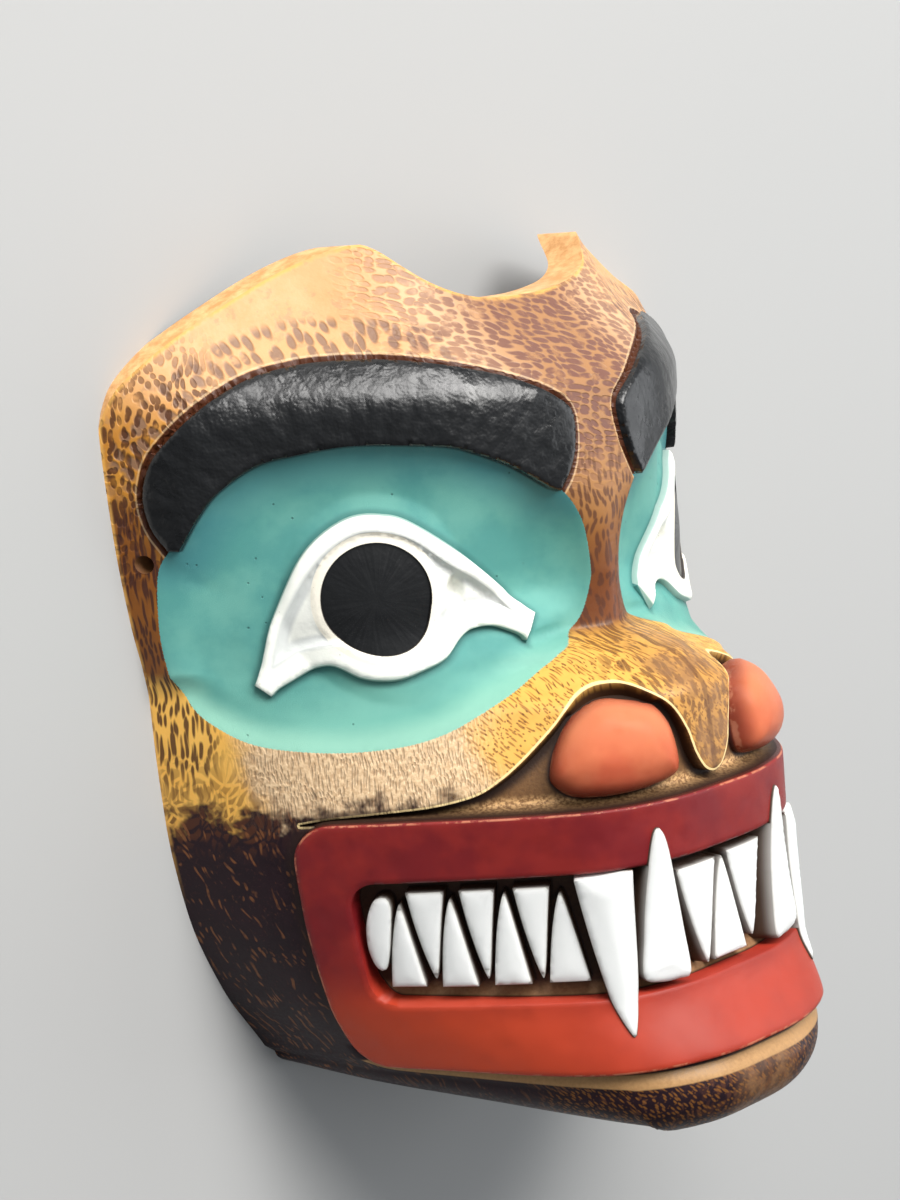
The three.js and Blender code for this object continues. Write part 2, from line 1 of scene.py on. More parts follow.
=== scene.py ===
# A small bear mask cast in painted resin, lying on its back rim on a pale floor.
import math
from functools import reduce
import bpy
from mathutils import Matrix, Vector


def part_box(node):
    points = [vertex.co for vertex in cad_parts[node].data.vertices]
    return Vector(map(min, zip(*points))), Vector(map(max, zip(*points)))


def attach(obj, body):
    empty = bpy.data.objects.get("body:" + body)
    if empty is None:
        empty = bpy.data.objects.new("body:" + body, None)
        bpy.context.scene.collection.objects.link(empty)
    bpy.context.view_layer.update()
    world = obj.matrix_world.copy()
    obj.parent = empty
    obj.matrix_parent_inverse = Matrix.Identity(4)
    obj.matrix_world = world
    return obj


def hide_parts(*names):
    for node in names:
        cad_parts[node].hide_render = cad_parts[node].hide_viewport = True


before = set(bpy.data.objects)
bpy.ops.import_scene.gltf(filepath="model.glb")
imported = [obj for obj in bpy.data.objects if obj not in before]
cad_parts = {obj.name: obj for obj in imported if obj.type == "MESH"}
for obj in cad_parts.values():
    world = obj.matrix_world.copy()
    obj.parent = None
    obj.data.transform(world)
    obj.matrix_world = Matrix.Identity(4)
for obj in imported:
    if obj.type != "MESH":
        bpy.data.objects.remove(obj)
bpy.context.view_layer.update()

from types import SimpleNamespace

import bmesh
import bpy
import numpy as np
from mathutils import Matrix, Vector
from mathutils.geometry import delaunay_2d_cdt
from mathutils.kdtree import KDTree

MM = 0.001
PER_MM = 1 / MM

# The skin was drawn in millimetres on a mask of this size, with its jaw at DRAWN_LOWEST. It is scaled to
# the frame's size
DRAWN_SIZE = (132.92, 148.0, 74.31)
DRAWN_LOWEST = -70.5
low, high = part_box("bear_mask")
WIDE, TALL, DEEP = ((high[i] - low[i]) / (DRAWN_SIZE[i] * MM) for i in range(3))
MIDDLE = DRAWN_LOWEST + DRAWN_SIZE[1] / 2

WALL = 4.5
JAW_RADIUS = 9.0
# The underside of the jaw ends this much higher at the back rim than at the chin, from LIFT_BELOW down
JAW_LIFT = 8.0
LIFT_BELOW = -57.4
GIRTH = 90.0
TIE_HOLE_RADIUS = 1.5
TIE_HOLE_HEIGHT = 30.0
TIE_HOLE_DEPTH = 4.0

# Sections from the jaw up: a height, then x and z from the midline round to the back edge
SECTIONS = [
    (-63, [(0, 74), (11, 73), (21, 67), (28, 56), (35, 38), (40.5, 20), (43.5, 0)]),
    (-58, [(0, 73), (11, 72), (22, 66.5), (29, 56.5), (36.3, 38), (42.3, 20), (46, 0)]),
    (-45, [(0, 66.5), (11, 66), (22, 61.8), (30, 52.5), (40, 36.5), (48.8, 19), (54, 0)]),
    (-30, [(0, 66), (11, 65.3), (21.5, 61.3), (30, 52), (42, 35.5), (52.4, 18), (59.6, 0)]),
    (-14, [(0, 66.8), (11, 66), (21.5, 61.5), (30.5, 52), (42.5, 35.5), (53.5, 18), (62, 0)]),
    (1, [(0, 66), (9, 64), (19, 57), (28, 46.5), (40, 35), (52.5, 19), (62.5, 0)]),
    (7, [(0, 60), (8, 55), (18, 44), (28, 37.5), (40, 30), (52, 18.5), (62.5, 0)]),
    (11.5, [(0, 44), (12, 41.5), (25, 37.5), (38, 30), (50, 20), (60, 9), (63, 0)]),
    (20, [(0, 42.5), (14, 41.5), (27, 38), (38, 30), (50, 20), (60, 9), (64.5, 0)]),
    (35, [(0, 44.5), (11, 44.5), (23, 42), (35, 33), (47, 22.5), (59, 11), (66, 0)]),
    (50, [(0, 45), (11, 45), (23, 41.5), (35, 33), (47, 22), (59, 10.5), (66.5, 0)]),
    (66, [(0, 31), (13, 31), (25, 28), (36, 18.5), (48, 9.5), (59, 2.5), (66, -2.5)]),
    (80, [(0, 24.5), (13, 24.5), (24, 20), (34, 11), (46, 3), (57, -4), (64, -9)]),
]
# The ridge between the eyes: height on the face, how far it stands up, and its half width
RIDGE = [(5, 0, 6), (7, 0.5, 6), (11.5, 3.5, 6), (20, 5, 6), (35, 3.5, 11), (50, 1, 14), (70, 0, 16)]
# The top edge seen from the front, from the back of each temple to the dip between the ears
NEAR_TOP = [
    (66.8, 50), (66.4, 52.6), (65.2, 55.9), (63, 59.2), (58.4, 62.8), (52, 66.5), (45.8, 69.7),
    (38.2, 73.4), (31.2, 76.2), (26, 77.5), (23.6, 76.6), (20.6, 73.4), (18, 71), (14.4, 68.8), (10, 67.2),
    (5, 66.5), (0, 66.4),
]
FAR_TOP = [
    (66.8, 50), (66.4, 52.6), (65.2, 55.9), (63, 59.2), (58.4, 62), (52, 64.6), (45.8, 67.2), (38.2, 70.8),
    (32.2, 73.8), (27.6, 75.3), (25.8, 74.6), (23.2, 71.8), (20.8, 70), (16, 68.2), (11, 67.2), (5, 66.5),
    (0, 66.4),
]

# Outlines on the skin: girth from the midline, 90 at the back edge, and height on the face
BROW_TOP = [
    (10.6, 34.9), (8.4, 37.7), (6.8, 41.1), (6, 45.3), (6.4, 47.8), (8.6, 49.7), (12.4, 51.8), (18.6, 54.3),
    (26.8, 56.7), (35.4, 58.4), (44.2, 59.1), (53.4, 59), (63.1, 57.4), (73, 53.2), (80.3, 47.5),
    (82.8, 43), (83.3, 39.3), (82.3, 35.5), (80.1, 32.1),
]
BROW_BOTTOM = [
    (78.1, 31.9), (74.4, 36.7), (70.2, 40.8), (63.3, 44.4), (56.7, 45.5), (47.9, 46.2), (39.3, 45.6),
    (30.7, 44.5), (26.1, 43), (19.4, 40), (12.4, 35.6),
]
SOCKET_LOW = [
    (80.2, 31.9), (82.2, 29.6), (83.4, 26.2), (84.6, 18), (84.3, 11.6), (82.4, 5.6), (78.4, 1.9),
    (72.7, -0.9), (64.6, -2.4), (56.7, -2.9), (48.7, -2.4), (42.1, -0.8), (35.5, 2), (27.2, 5.1),
    (19.5, 7.9), (12.2, 9.8), (7.2, 12.6), (4.6, 17.4), (4.1, 22.3), (5.3, 28.3), (7.6, 32.4), (9.8, 34.9),
]
SOCKET_HIGH = [
    (11.5, 36.6), (20, 41.6), (30, 45.6), (39, 46.7), (48, 47.3), (57, 46.6), (64, 45.4), (71, 41.8),
    (75.5, 37.4),
]
EYE_TOP = [
    (16, 15.2), (22.6, 21.2), (30.3, 27.2), (38.7, 33), (43.4, 34.5), (47.6, 34.7), (51.3, 33.6),
    (55.2, 31.3), (58.4, 28.2), (61.5, 23.6), (65, 17.8), (68, 12.4), (70.6, 8.6),
]
EYE_BOTTOM = [
    (68.2, 6.7), (66.4, 7.9), (61.8, 9.9), (58.5, 11), (55.6, 10.9), (52.1, 8.8), (49.1, 8), (45.5, 7.9),
    (40.8, 8.9), (36.4, 10.3), (32.5, 12.8), (29.6, 13.9), (25.6, 14.1), (22.2, 13), (19.2, 11),
]
EYE_OPEN_TOP = [
    (20.2, 15.6), (22.5, 18.6), (26.7, 21.8), (32.1, 25.3), (37.2, 29.3), (40.7, 31.1), (44.9, 32),
    (48.5, 31.7), (52.7, 29.7), (56.4, 26.6), (59.9, 22.2), (63.3, 16.9), (66.2, 11.6),
]
EYE_OPEN_BOTTOM = [
    (61.2, 13.8), (56.6, 14.4), (53, 14.1), (49.5, 11.7), (45.5, 10.8), (40.5, 11.6), (36, 14),
    (32.1, 16.4), (27.8, 16.9), (23.6, 16.8),
]
NOSE_EDGE = [
    (0.6, -12.3), (2.2, -11.3), (3.9, -8.4), (5, -4.6), (6.7, -0.9), (8.5, 1.2), (11.7, 3.5), (14.5, 4.1),
    (18.5, 3.7), (22.5, 2), (26.3, -1.4), (31.8, -5.9), (36, -8.9), (40.1, -11), (46.5, -12.4),
    (54.4, -13.1), (62.4, -13.7), (67.6, -14.4),
]
NOSTRIL = [
    (28.4, -9.4), (28.2, -6.6), (26.8, -3.6), (24.5, -0.6), (21.3, 1.9), (17.9, 2.8), (13.7, 2.3),
    (9.9, 0.9), (8, -1.9), (7.3, -5.1), (7.2, -8.9), (8.1, -11.1), (11, -12.1), (16.1, -12.6),
    (21.2, -12.6), (25.8, -11.9),
]
EYE_CENTRE = (45.4, 20.9)
PUPIL = 9.8
PUPIL_RIM = 1.9
PUPIL_ROUND = 1.06
# The pit beside the eyeball: its place and half sizes
TEAR_PIT = (30.8, 20.3, 2.1, 3.0)

# Mouth: heights and ends of the lips and of the opening
LIP_TOP, LIP_BOTTOM, LIP_END = -14.2, -57.2, 68.9
LIP_CORNERS = (6.5, 4.5)
MOUTH_TOP, MOUTH_BOTTOM, MOUTH_END = -24.3, -45.2, 60.9
MOUTH_CORNER = 4.0

# Heights of the carving over the plain skin, in millimetres
BROW_RISE = 1.2
GROOVE_DEPTH = 0.9
GROOVE_WIDTH = 1.1
SOCKET_DEPTH = 3.2
SOCKET_REACH = 13.0
# In the sockets the skin is evened out over these heights, fully so from SOCKET_CALM in from their edge
SOCKET_CALM = 7.0
CALM_SHIFTS = (-7.5, -5, -2.5, 0, 2.5, 5, 7.5)
EYEBALL_RISE = 2.6
EYEBALL_REACH = 17.0
LID_RISE = 1.5
EYE_WHITE_RISE = 0.45
PUPIL_RIM_RISE = 0.95
PUPIL_SINK = 0.5
PIT_DEPTH = 2.5
NOSE_STEP = 2.6
NOSTRIL_RISE = 6.3
LIP_RISE = 1.6
MOUTH_DEPTH = 3.4
TOOTH_RISE = 0.4
FANG_RISE = 2.3
LEDGE_DEPTH = 1.3

# Teeth on either side: both ends of the root, its height, then the tip
SIDE_TEETH = [
    (51.9, 58.0, -43.4, 53.7, -28.2), (46.3, 52.6, -25.3, 50.1, -41.1), (43.5, 49.7, -43.5, 45.7, -27.6),
    (38.5, 44.3, -25.3, 41.8, -41.3), (35.1, 41.3, -43.4, 37.3, -27.0), (30.1, 36.0, -25.3, 33.2, -41.5),
    (25.8, 32.6, -43.2, 28.8, -27.4),
]
# Teeth between the fangs, on the -X side of the midline first
FRONT_TEETH = [
    (-10.0, -0.9, -25.6, -5.0, -43.6), (-3.6, 4.8, -44.7, 0.3, -26.8), (1.3, 10.5, -25.3, 6.3, -42.1),
]
UPPER_FANG = [
    (26.5, -24.6), (25.6, -31), (24.7, -38), (23.8, -44.5), (22.9, -49.8), (22.2, -51.9), (21.3, -50.6),
    (20, -47), (19, -41), (18.3, -33), (17.9, -24.4),
]
LOWER_FANG = [
    (10.2, -43.4), (10.4, -36), (11, -29), (11.9, -22.4), (12.8, -19.2), (13.8, -18.3), (14.8, -20.4),
    (16.4, -29), (17.5, -36), (18.4, -42.4), (16, -43.8), (12.5, -44),
]
REAR_TOOTH = [
    (58.4, -28.6), (57.2, -27.1), (55.6, -27), (55, -28.6), (55.5, -32), (56.6, -36.5), (57.9, -39.4),
    (59.3, -39.2), (60, -36.3), (59.6, -32),
]

# How far apart the points of the skin lie, and how wide a steep step is, in millimetres
LATTICE = 0.68
KEEP_OFF = LATTICE * 0.45
LINE_STEP = 0.6
STEP_WIDTH = 0.12
BACK_LATTICE = 2.4

HEIGHTS = np.array([height for height, _ in SECTIONS], float)
POINTS = np.array([points for _, points in SECTIONS], float)
JAW_TURN = DRAWN_LOWEST + JAW_RADIUS
SHEET_LOWEST = JAW_TURN - JAW_RADIUS * math.pi / 2


def slopes(x, values):
    """Slopes through values that never overshoot a step."""
    rise = np.diff(values, axis=0) / np.diff(x)[:, None, None]
    before, after = rise[:-1], rise[1:]
    same = before * after > 0
    inner = np.where(same, 2 * before * after / np.where(same, before + after, 1), 0)
    return np.concatenate([rise[:1], inner, rise[-1:]])


SLOPES = slopes(HEIGHTS, POINTS)


def sections_at(h):
    """The drawn points of the sections at some heights."""
    h = np.clip(h, HEIGHTS[0], HEIGHTS[-1])
    i = np.clip(np.searchsorted(HEIGHTS, h, side="right") - 1, 0, len(HEIGHTS) - 2)
    span = (HEIGHTS[i + 1] - HEIGHTS[i])[:, None, None]
    t = (h - HEIGHTS[i])[:, None, None] / span
    return (
        POINTS[i] * (2 * t**3 - 3 * t**2 + 1)
        + SLOPES[i] * span * (t**3 - 2 * t**2 + t)
        + POINTS[i + 1] * (3 * t**2 - 2 * t**3)
        + SLOPES[i + 1] * span * (t**3 - t**2)
    )


def curve(a, b, c, d, t):
    """A smooth curve from b to c, between a and d, at a share t of the way."""
    bend, twist = 2 * a - 5 * b + 4 * c - d, 3 * b - a - 3 * c + d
    return 0.5 * (2 * b + (c - a) * t + bend * t**2 + twist * t**3)


def along(points, u):
    """A smooth curve through each section's points, at a share u of the way."""
    last = points.shape[1] - 1
    before = points[:, 1:2] * [-1, 1]
    after = 2 * points[:, -1:] - points[:, -2:-1]
    run = np.concatenate([before, points, after], 1)
    i = np.minimum((np.clip(u, 0, 1) * last).astype(int), last - 1)
    t = (np.clip(u, 0, 1) * last - i)[:, None]
    row = np.arange(len(points))
    a, b, c, d = (run[row, i + k] for k in range(4))
    return curve(a, b, c, d, t)


CHIN_DEPTH = sections_at(np.array([JAW_TURN]))[0, 0, 1] - JAW_RADIUS


def jaw_lift(y, z):
    """How far the skin is lifted below the lips, the more the nearer to the back rim."""
    share = np.clip((LIFT_BELOW - y) / (LIFT_BELOW - DRAWN_LOWEST), 0, 1)
    return JAW_LIFT * share * np.sqrt(np.clip(1 - np.maximum(z, 0) / CHIN_DEPTH, 0, 1))


def half_skin(u, h):
    """Points on the +X half of the plain skin, at a share u of the section at height h."""
    section = sections_at(np.maximum(h, JAW_TURN))
    flat = along(section, u)
    turn = np.clip((JAW_TURN - h) / JAW_RADIUS, 0, math.pi / 2)
    inset = JAW_RADIUS * (1 - np.cos(turn))
    y = np.where(h >= JAW_TURN, h, JAW_TURN - JAW_RADIUS * np.sin(turn))
    x = flat[:, 0] * (1 - inset / section[:, -1, 0])
    z = flat[:, 1] * (1 - inset / section[:, 0, 1])
    heights, rises, widths = np.array(RIDGE, float).T
    z = z + np.interp(h, heights, rises) * np.exp(-((x / np.interp(h, heights, widths)) ** 2))
    return np.column_stack([x, y + jaw_lift(y, z), z])


TABLE_STEP = 0.5
TABLE_H = np.arange(SHEET_LOWEST - TABLE_STEP, 80.5, TABLE_STEP)
TABLE_U = np.linspace(0, 1, 129)


def girth_table():
    """How far round each section of the table a share of it reaches, of 90 in all."""
    h, u = np.meshgrid(TABLE_H, TABLE_U, indexing="ij")
    points = half_skin(u.ravel(), h.ravel()).reshape(*h.shape, 3)
    steps = np.linalg.norm(np.diff(points, axis=1), axis=2)
    lengths = np.concatenate([np.zeros((len(h), 1)), np.cumsum(steps, 1)], 1)
    return lengths / lengths[:, -1:] * GIRTH


TABLE = girth_table()


def share_of(s, h):
    """The share u of a section that lies at girth s."""
    s = np.abs(s)
    place = np.clip((h - TABLE_H[0]) / TABLE_STEP, 0, len(TABLE_H) - 1.001)
    i = place.astype(int)
    f = (place - i)[:, None]
    row_of_table = TABLE[i] * (1 - f) + TABLE[i + 1] * f
    k = np.clip((row_of_table < s[:, None]).sum(1) - 1, 0, len(TABLE_U) - 2)
    row = np.arange(len(s))
    start, end = row_of_table[row, k], row_of_table[row, k + 1]
    share = np.clip((s - start) / np.maximum(end - start, 1e-9), 0, 1)
    return TABLE_U[k] + (TABLE_U[1] - TABLE_U[0]) * share


def skin(s, h):
    """Points on the plain skin at girth s, negative on the -X side, and height h."""
    points = half_skin(share_of(s, h), h)
    points[:, 0] *= np.where(s < 0, -1, 1)
    return points


def ring_at(girths, height):
    """Points on the plain skin at some girths of one height."""
    return skin(girths, np.full(len(girths), height))


def normals(s, h, probe=0.4):
    """The plain skin's outward normals."""
    inside_edge = np.clip(s, probe - GIRTH, GIRTH - probe)
    across = skin(inside_edge + probe, h) - skin(inside_edge - probe, h)
    up = skin(inside_edge, h + probe) - skin(inside_edge, h - probe)
    normal = np.cross(across, up)
    return normal / np.linalg.norm(normal, axis=1, keepdims=True)


def smooth(points, step=LINE_STEP, closed=False):
    """Points at about equal steps on a smooth curve through the given ones."""
    run = np.array(points, float)
    if closed:
        run = np.concatenate([run[-1:], run, run[:2]])
    else:
        run = np.concatenate([2 * run[:1] - run[1:2], run, 2 * run[-1:] - run[-2:-1]])
    out = []
    for a, b, c, d in zip(run, run[1:], run[2:], run[3:]):
        count = max(int(np.linalg.norm(c - b) / step), 1)
        for t in np.arange(count)[:, None] / count:
            out.append(curve(a, b, c, d, t))
    if not closed:
        out.append(run[-2])
    return np.array(out)


def straight(points, step=LINE_STEP):
    """Points at about equal steps along straight lines, without the last one."""
    out = []
    for a, b in zip(np.array(points, float), np.array(points[1:], float)):
        count = max(int(np.linalg.norm(b - a) / step), 1)
        out += [a + (b - a) * i / count for i in range(count)]
    return np.array(out)


def rounded_box(end, top, bottom, top_corner, bottom_corner):
    """A rectangle across the face with rounded corners."""
    def corner(x, y, radius, first):
        turns = np.radians(np.linspace(first, first + 90, 9))
        return np.column_stack([x + radius * np.cos(turns), y + radius * np.sin(turns)])
    ring = np.concatenate([
        corner(end - top_corner, top - top_corner, top_corner, 0),
        corner(top_corner - end, top - top_corner, top_corner, 90),
        corner(bottom_corner - end, bottom + bottom_corner, bottom_corner, 180),
        corner(end - bottom_corner, bottom + bottom_corner, bottom_corner, 270),
    ])
    return straight(np.concatenate([ring, ring[:1]]))


def tooth(root_from, root_to, root, tip_s, tip, blunt=0.3):
    """The outline of a tooth: straight sides and a blunt tip."""
    side = []
    for t in np.sin(np.linspace(0.06, math.pi / 2, 14)):
        half = (root_to - root_from) / 2 * ((1 - blunt) * (1 - t) + blunt * math.sqrt(1 - t * t))
        middle = (root_from + root_to) / 2 * (1 - t) + tip_s * t
        side.append((middle - half, middle + half, root + (tip - root) * t))
    ring = [(a, y) for a, _, y in side] + [(b, y) for _, b, y in side[-2::-1]]
    return straight(np.array(ring + ring[:1]))


def inside(outline, s, h, reach=8.0):
    """Distance in from an outline, negative outside it, and no more than reach outside."""
    out = np.full(s.shape, -reach)
    low_corner, high_corner = outline.min(0) - reach, outline.max(0) + reach
    near = (s > low_corner[0]) & (s < high_corner[0]) & (h > low_corner[1]) & (h < high_corner[1])
    p = np.column_stack([s[near], h[near]])
    nearest = np.full(len(p), np.inf)
    within = np.zeros(len(p), bool)
    for a, b in zip(outline, np.roll(outline, -1, axis=0)):
        edge = b - a
        gap = p - a
        share = np.clip(gap @ edge / max(edge @ edge, 1e-12), 0, 1)
        gap -= share[:, None] * edge
        nearest = np.minimum(nearest, (gap**2).sum(1))
        if a[1] != b[1]:
            crosses = (a[1] > p[:, 1]) != (b[1] > p[:, 1])
            within ^= crosses & (p[:, 0] < a[0] + (p[:, 1] - a[1]) / edge[1] * edge[0])
    distance = np.sqrt(nearest)
    out[near] = np.maximum(np.where(within, distance, -distance), -reach)
    return out


def ellipse(centre_s, centre_h, half_width, half_height, count=72):
    turns = np.linspace(0, 2 * math.pi, count, endpoint=False)
    return np.column_stack([centre_s + half_width * np.cos(turns), centre_h + half_height * np.sin(turns)])


def nose_recess():
    """The recess between the nose's edge and the upper lip, across the whole face."""
    edge = smooth([(-s, h) for s, h in NOSE_EDGE[::-1]] + NOSE_EDGE)
    foot = LIP_TOP - 0.4
    end = edge[-1][0]
    return np.concatenate([edge[:-1], straight([tuple(edge[-1]), (end, foot), (-end, foot), tuple(edge[0])])])


# Outlines that are the same on both sides, as girth from the midline
SIDES = {
    "brow": np.concatenate([smooth(BROW_TOP), smooth(BROW_BOTTOM)]),
    "socket": np.concatenate([
        smooth(SOCKET_LOW)[:-1], smooth([SOCKET_LOW[-1]] + SOCKET_HIGH + [SOCKET_LOW[0]])[:-1],
    ]),
    "eye": np.concatenate([smooth(EYE_TOP), smooth(EYE_BOTTOM)]),
    "opening": np.concatenate([smooth(EYE_OPEN_TOP), smooth(EYE_OPEN_BOTTOM)]),
    "pupil": ellipse(*EYE_CENTRE, PUPIL, PUPIL / PUPIL_ROUND),
    "nostril": smooth(NOSTRIL, closed=True),
    "upper_fang": smooth(UPPER_FANG),
    "lower_fang": smooth(LOWER_FANG, closed=True),
    "rear_tooth": smooth(REAR_TOOTH, closed=True),
}
for number, row in enumerate(SIDE_TEETH):
    SIDES[f"side_tooth_{number}"] = tooth(*row)
# Outlines that cross the midline
ACROSS = {
    "recess": nose_recess(),
    "lips": rounded_box(LIP_END, LIP_TOP, LIP_BOTTOM, *LIP_CORNERS),
    "mouth": rounded_box(MOUTH_END, MOUTH_TOP, MOUTH_BOTTOM, MOUTH_CORNER, MOUTH_CORNER),
}
for number, row in enumerate(FRONT_TEETH):
    ACROSS[f"front_tooth_{number}"] = tooth(*row)
SMALL_TEETH = [name for name in [*SIDES, *ACROSS] if "_tooth" in name]


def distances(s, h):
    """How far in from each outline the points lie, negative outside."""
    found = {name: inside(outline, np.abs(s), h) for name, outline in SIDES.items()}
    found |= {name: inside(outline, s, h) for name, outline in ACROSS.items()}
    found["tooth"] = np.max([found[name] for name in SMALL_TEETH], axis=0)
    found["fang"] = np.maximum(found["upper_fang"], found["lower_fang"])
    return found


def ramp(distance, width):
    return np.clip(distance / width, 0, 1)


def rounded(distance, radius, drop):
    """How far a rounded edge lies under its top, at a distance in from the edge."""
    return drop * (1 - np.sqrt(1 - (1 - ramp(distance, radius)) ** 2))


def relief(s, h, far):
    """How far the carved face stands over the plain skin."""
    a = np.abs(s)
    rise = np.zeros(len(s))
    dish = SOCKET_DEPTH * (1 - (1 - ramp(far["socket"], SOCKET_REACH)) ** 2)
    from_eye = (a - EYE_CENTRE[0]) ** 2 + (h - EYE_CENTRE[1]) ** 2
    ball = EYEBALL_RISE * np.maximum(0, 1 - from_eye / EYEBALL_REACH**2)
    bowl = ball * ramp(far["socket"], 2) - dish
    rise = np.where(far["socket"] > 0, bowl, rise)
    groove = GROOVE_DEPTH * np.maximum(0, 1 - np.abs(far["brow"] / GROOVE_WIDTH + 0.5) * 2)
    rise = np.where(far["socket"] < 0, rise - groove, rise)
    brow = BROW_RISE + 0.15 * ramp(far["brow"], 6) - rounded(far["brow"], 0.6, 0.4)
    rise = np.where(far["brow"] > 0, brow, rise)
    rise = eye_relief(a, h, far, rise, bowl)
    rise = nose_relief(far, rise)
    return mouth_relief(h, far, rise)


def eye_relief(a, h, far, rise, bowl):
    lid = bowl + LID_RISE - rounded(far["eye"], 0.9, 0.7)
    rise = np.where(far["eye"] > 0, lid, rise)
    from_centre = np.hypot(a - EYE_CENTRE[0], (h - EYE_CENTRE[1]) * PUPIL_ROUND)
    white = bowl + EYE_WHITE_RISE + 0.35 * ramp(far["opening"], 4) - 0.3 * (1 - ramp(far["opening"], 0.8))
    down = ramp(far["opening"], 0.9)
    rise = np.where(far["opening"] > 0, lid * (1 - down) + white * down, rise)
    rim = bowl + PUPIL_RIM_RISE - rounded(PUPIL + PUPIL_RIM - from_centre, 0.7, 0.35)
    rise = np.where((from_centre < PUPIL + PUPIL_RIM) & (far["opening"] > 0), np.maximum(rise, rim), rise)
    rise = np.where(from_centre < PUPIL, bowl + PUPIL_RIM_RISE - PUPIL_SINK, rise)
    pit_s, pit_h, pit_width, pit_height = TEAR_PIT
    pit = np.hypot((a - pit_s) / pit_width, (h - pit_h) / pit_height)
    return rise - PIT_DEPTH * np.maximum(0, 1 - pit**2)


def nose_relief(far, rise):
    recess = -NOSE_STEP * np.ones(len(rise))
    bulb = -NOSE_STEP + NOSTRIL_RISE * np.sqrt(1 - (1 - ramp(far["nostril"], 6.2)) ** 2)
    recess = np.where(far["nostril"] > 0, bulb, recess)
    edge = rise - rounded(-far["recess"], 0.5, 0.3) * (far["recess"] > -0.5)
    return np.where(far["recess"] > 0, recess, edge)


def mouth_relief(h, far, rise):
    shelf = ramp(far["lips"] + 1.1, 1.1)
    under = (h < LIP_BOTTOM + 3) & (far["lips"] > -2.8)
    rise = np.where(under, -0.9 * (1 - ramp(-far["lips"], 2.8)), rise)
    over_lip = (far["recess"] > 0) & (far["lips"] < 0)
    rise = np.where(over_lip, np.maximum(rise, rise * (1 - shelf) + shelf * 0.8), rise)
    lip = LIP_RISE - rounded(far["lips"], 0.7, 0.5) - rounded(-far["mouth"], 0.7, 0.45)
    rise = np.where(far["lips"] > 0, lip, rise)
    ledge = LEDGE_DEPTH * (1 - ramp(h - MOUTH_BOTTOM, 1.8))
    rise = np.where(far["mouth"] > 0, -MOUTH_DEPTH + ledge, rise)
    crown = TOOTH_RISE + 0.3 * ramp(far["tooth"], 2.4) - rounded(far["tooth"], 0.5, 0.5)
    rise = np.where(far["tooth"] > 0, crown, rise)
    fang = FANG_RISE + 0.7 * ramp(far["fang"], 3.2) - rounded(far["fang"], 0.6, 0.6)
    return np.where(far["fang"] > 0, fang, rise)


# Meshes
SNAP = 0.03 * MM


def to_row(points):
    """Drawn millimetres as metres in the row's frame."""
    shifted = (points - [0, MIDDLE, 0]) * [WIDE, TALL, DEEP] * MM
    shifted[:, 2] = np.where(shifted[:, 2] < SNAP, 0, shifted[:, 2])
    return shifted


def lattice(low_corner, high_corner, step, seed):
    """A slightly shaken hexagonal lattice."""
    rng = np.random.default_rng(seed)
    rows = np.arange(low_corner[1], high_corner[1], step * math.sqrt(3) / 2)
    columns = np.arange(low_corner[0], high_corner[0], step)
    x, y = np.meshgrid(columns, rows)
    x = x + (np.arange(len(rows)) % 2)[:, None] * step / 2
    points = np.column_stack([x.ravel(), y.ravel()])
    return points + rng.uniform(-0.12, 0.12, points.shape) * step


def fill(loop, lines, points):
    """Triangles inside a closed loop, through all lines and points."""
    everything = [loop, *lines, points]
    edges = [(i, (i + 1) % len(loop)) for i in range(len(loop))]
    start = len(loop)
    for line in lines:
        edges += [(start + i, start + (i + 1) % len(line)) for i in range(len(line))]
        start += len(line)
    spots = [Vector(p) for p in np.concatenate(everything).tolist()]
    found = delaunay_2d_cdt(spots, edges, [], 1, 1e-4, False)
    flat = np.array([tuple(p) for p in found[0]])
    faces = np.array([tuple(f) for f in found[2]])
    middle = flat[faces].mean(1)
    return flat, faces[inside(loop, middle[:, 0], middle[:, 1], 0.5) > 0]


def offset(line, distance):
    """A closed line moved out by a distance."""
    ahead = np.roll(line, -1, axis=0) - np.roll(line, 1, axis=0)
    length = np.maximum(np.linalg.norm(ahead, axis=1, keepdims=True), 1e-9)
    out = np.column_stack([ahead[:, 1], -ahead[:, 0]]) / length
    turning = np.sum(line[:, 0] * np.roll(line[:, 1], -1) - np.roll(line[:, 0], -1) * line[:, 1])
    return line + out * distance * (1 if turning > 0 else -1)


def depth_edge(h):
    """The girth at which the plain skin meets the back plane, at some heights."""
    girths = np.linspace(60, GIRTH, 121)
    out = []
    for height in h:
        z = ring_at(girths, height)[:, 2]
        out.append(GIRTH if z[-1] >= 0 else np.interp(0, -z, girths))
    return np.array(out)


def girth_at(x, h):
    """The girths at which the plain skin has some x, at some heights."""
    girths = np.linspace(0, GIRTH, 361)
    return np.array([np.interp(a, ring_at(girths, b)[:, 0], girths) for a, b in zip(x, h)])


def outer_loop(top_edge):
    """The skin's edge on one side, from the jaw up to the dip: side points, then top points."""
    side_h = np.linspace(SHEET_LOWEST, 51, 160)
    side = np.column_stack([depth_edge(side_h), side_h])
    seen = smooth(top_edge, 0.7)
    seen = seen[seen[:, 1] > side_h[-1] + 0.4]
    top = np.column_stack([girth_at(seen[:, 0], seen[:, 1]), seen[:, 1]])
    return side, top


SIDE, TOP_RIGHT = outer_loop(FAR_TOP)
TOP_LEFT = outer_loop(NEAR_TOP)[1] * [-1, 1]
JAW_LINE = np.column_stack([np.linspace(-GIRTH, GIRTH, 181), np.full(181, SHEET_LOWEST)])


def whole_loop():
    left_side = SIDE[1:] * [-1, 1]
    return np.concatenate([JAW_LINE[:-1], SIDE, TOP_RIGHT, TOP_LEFT[-2::-1], left_side[::-1]])


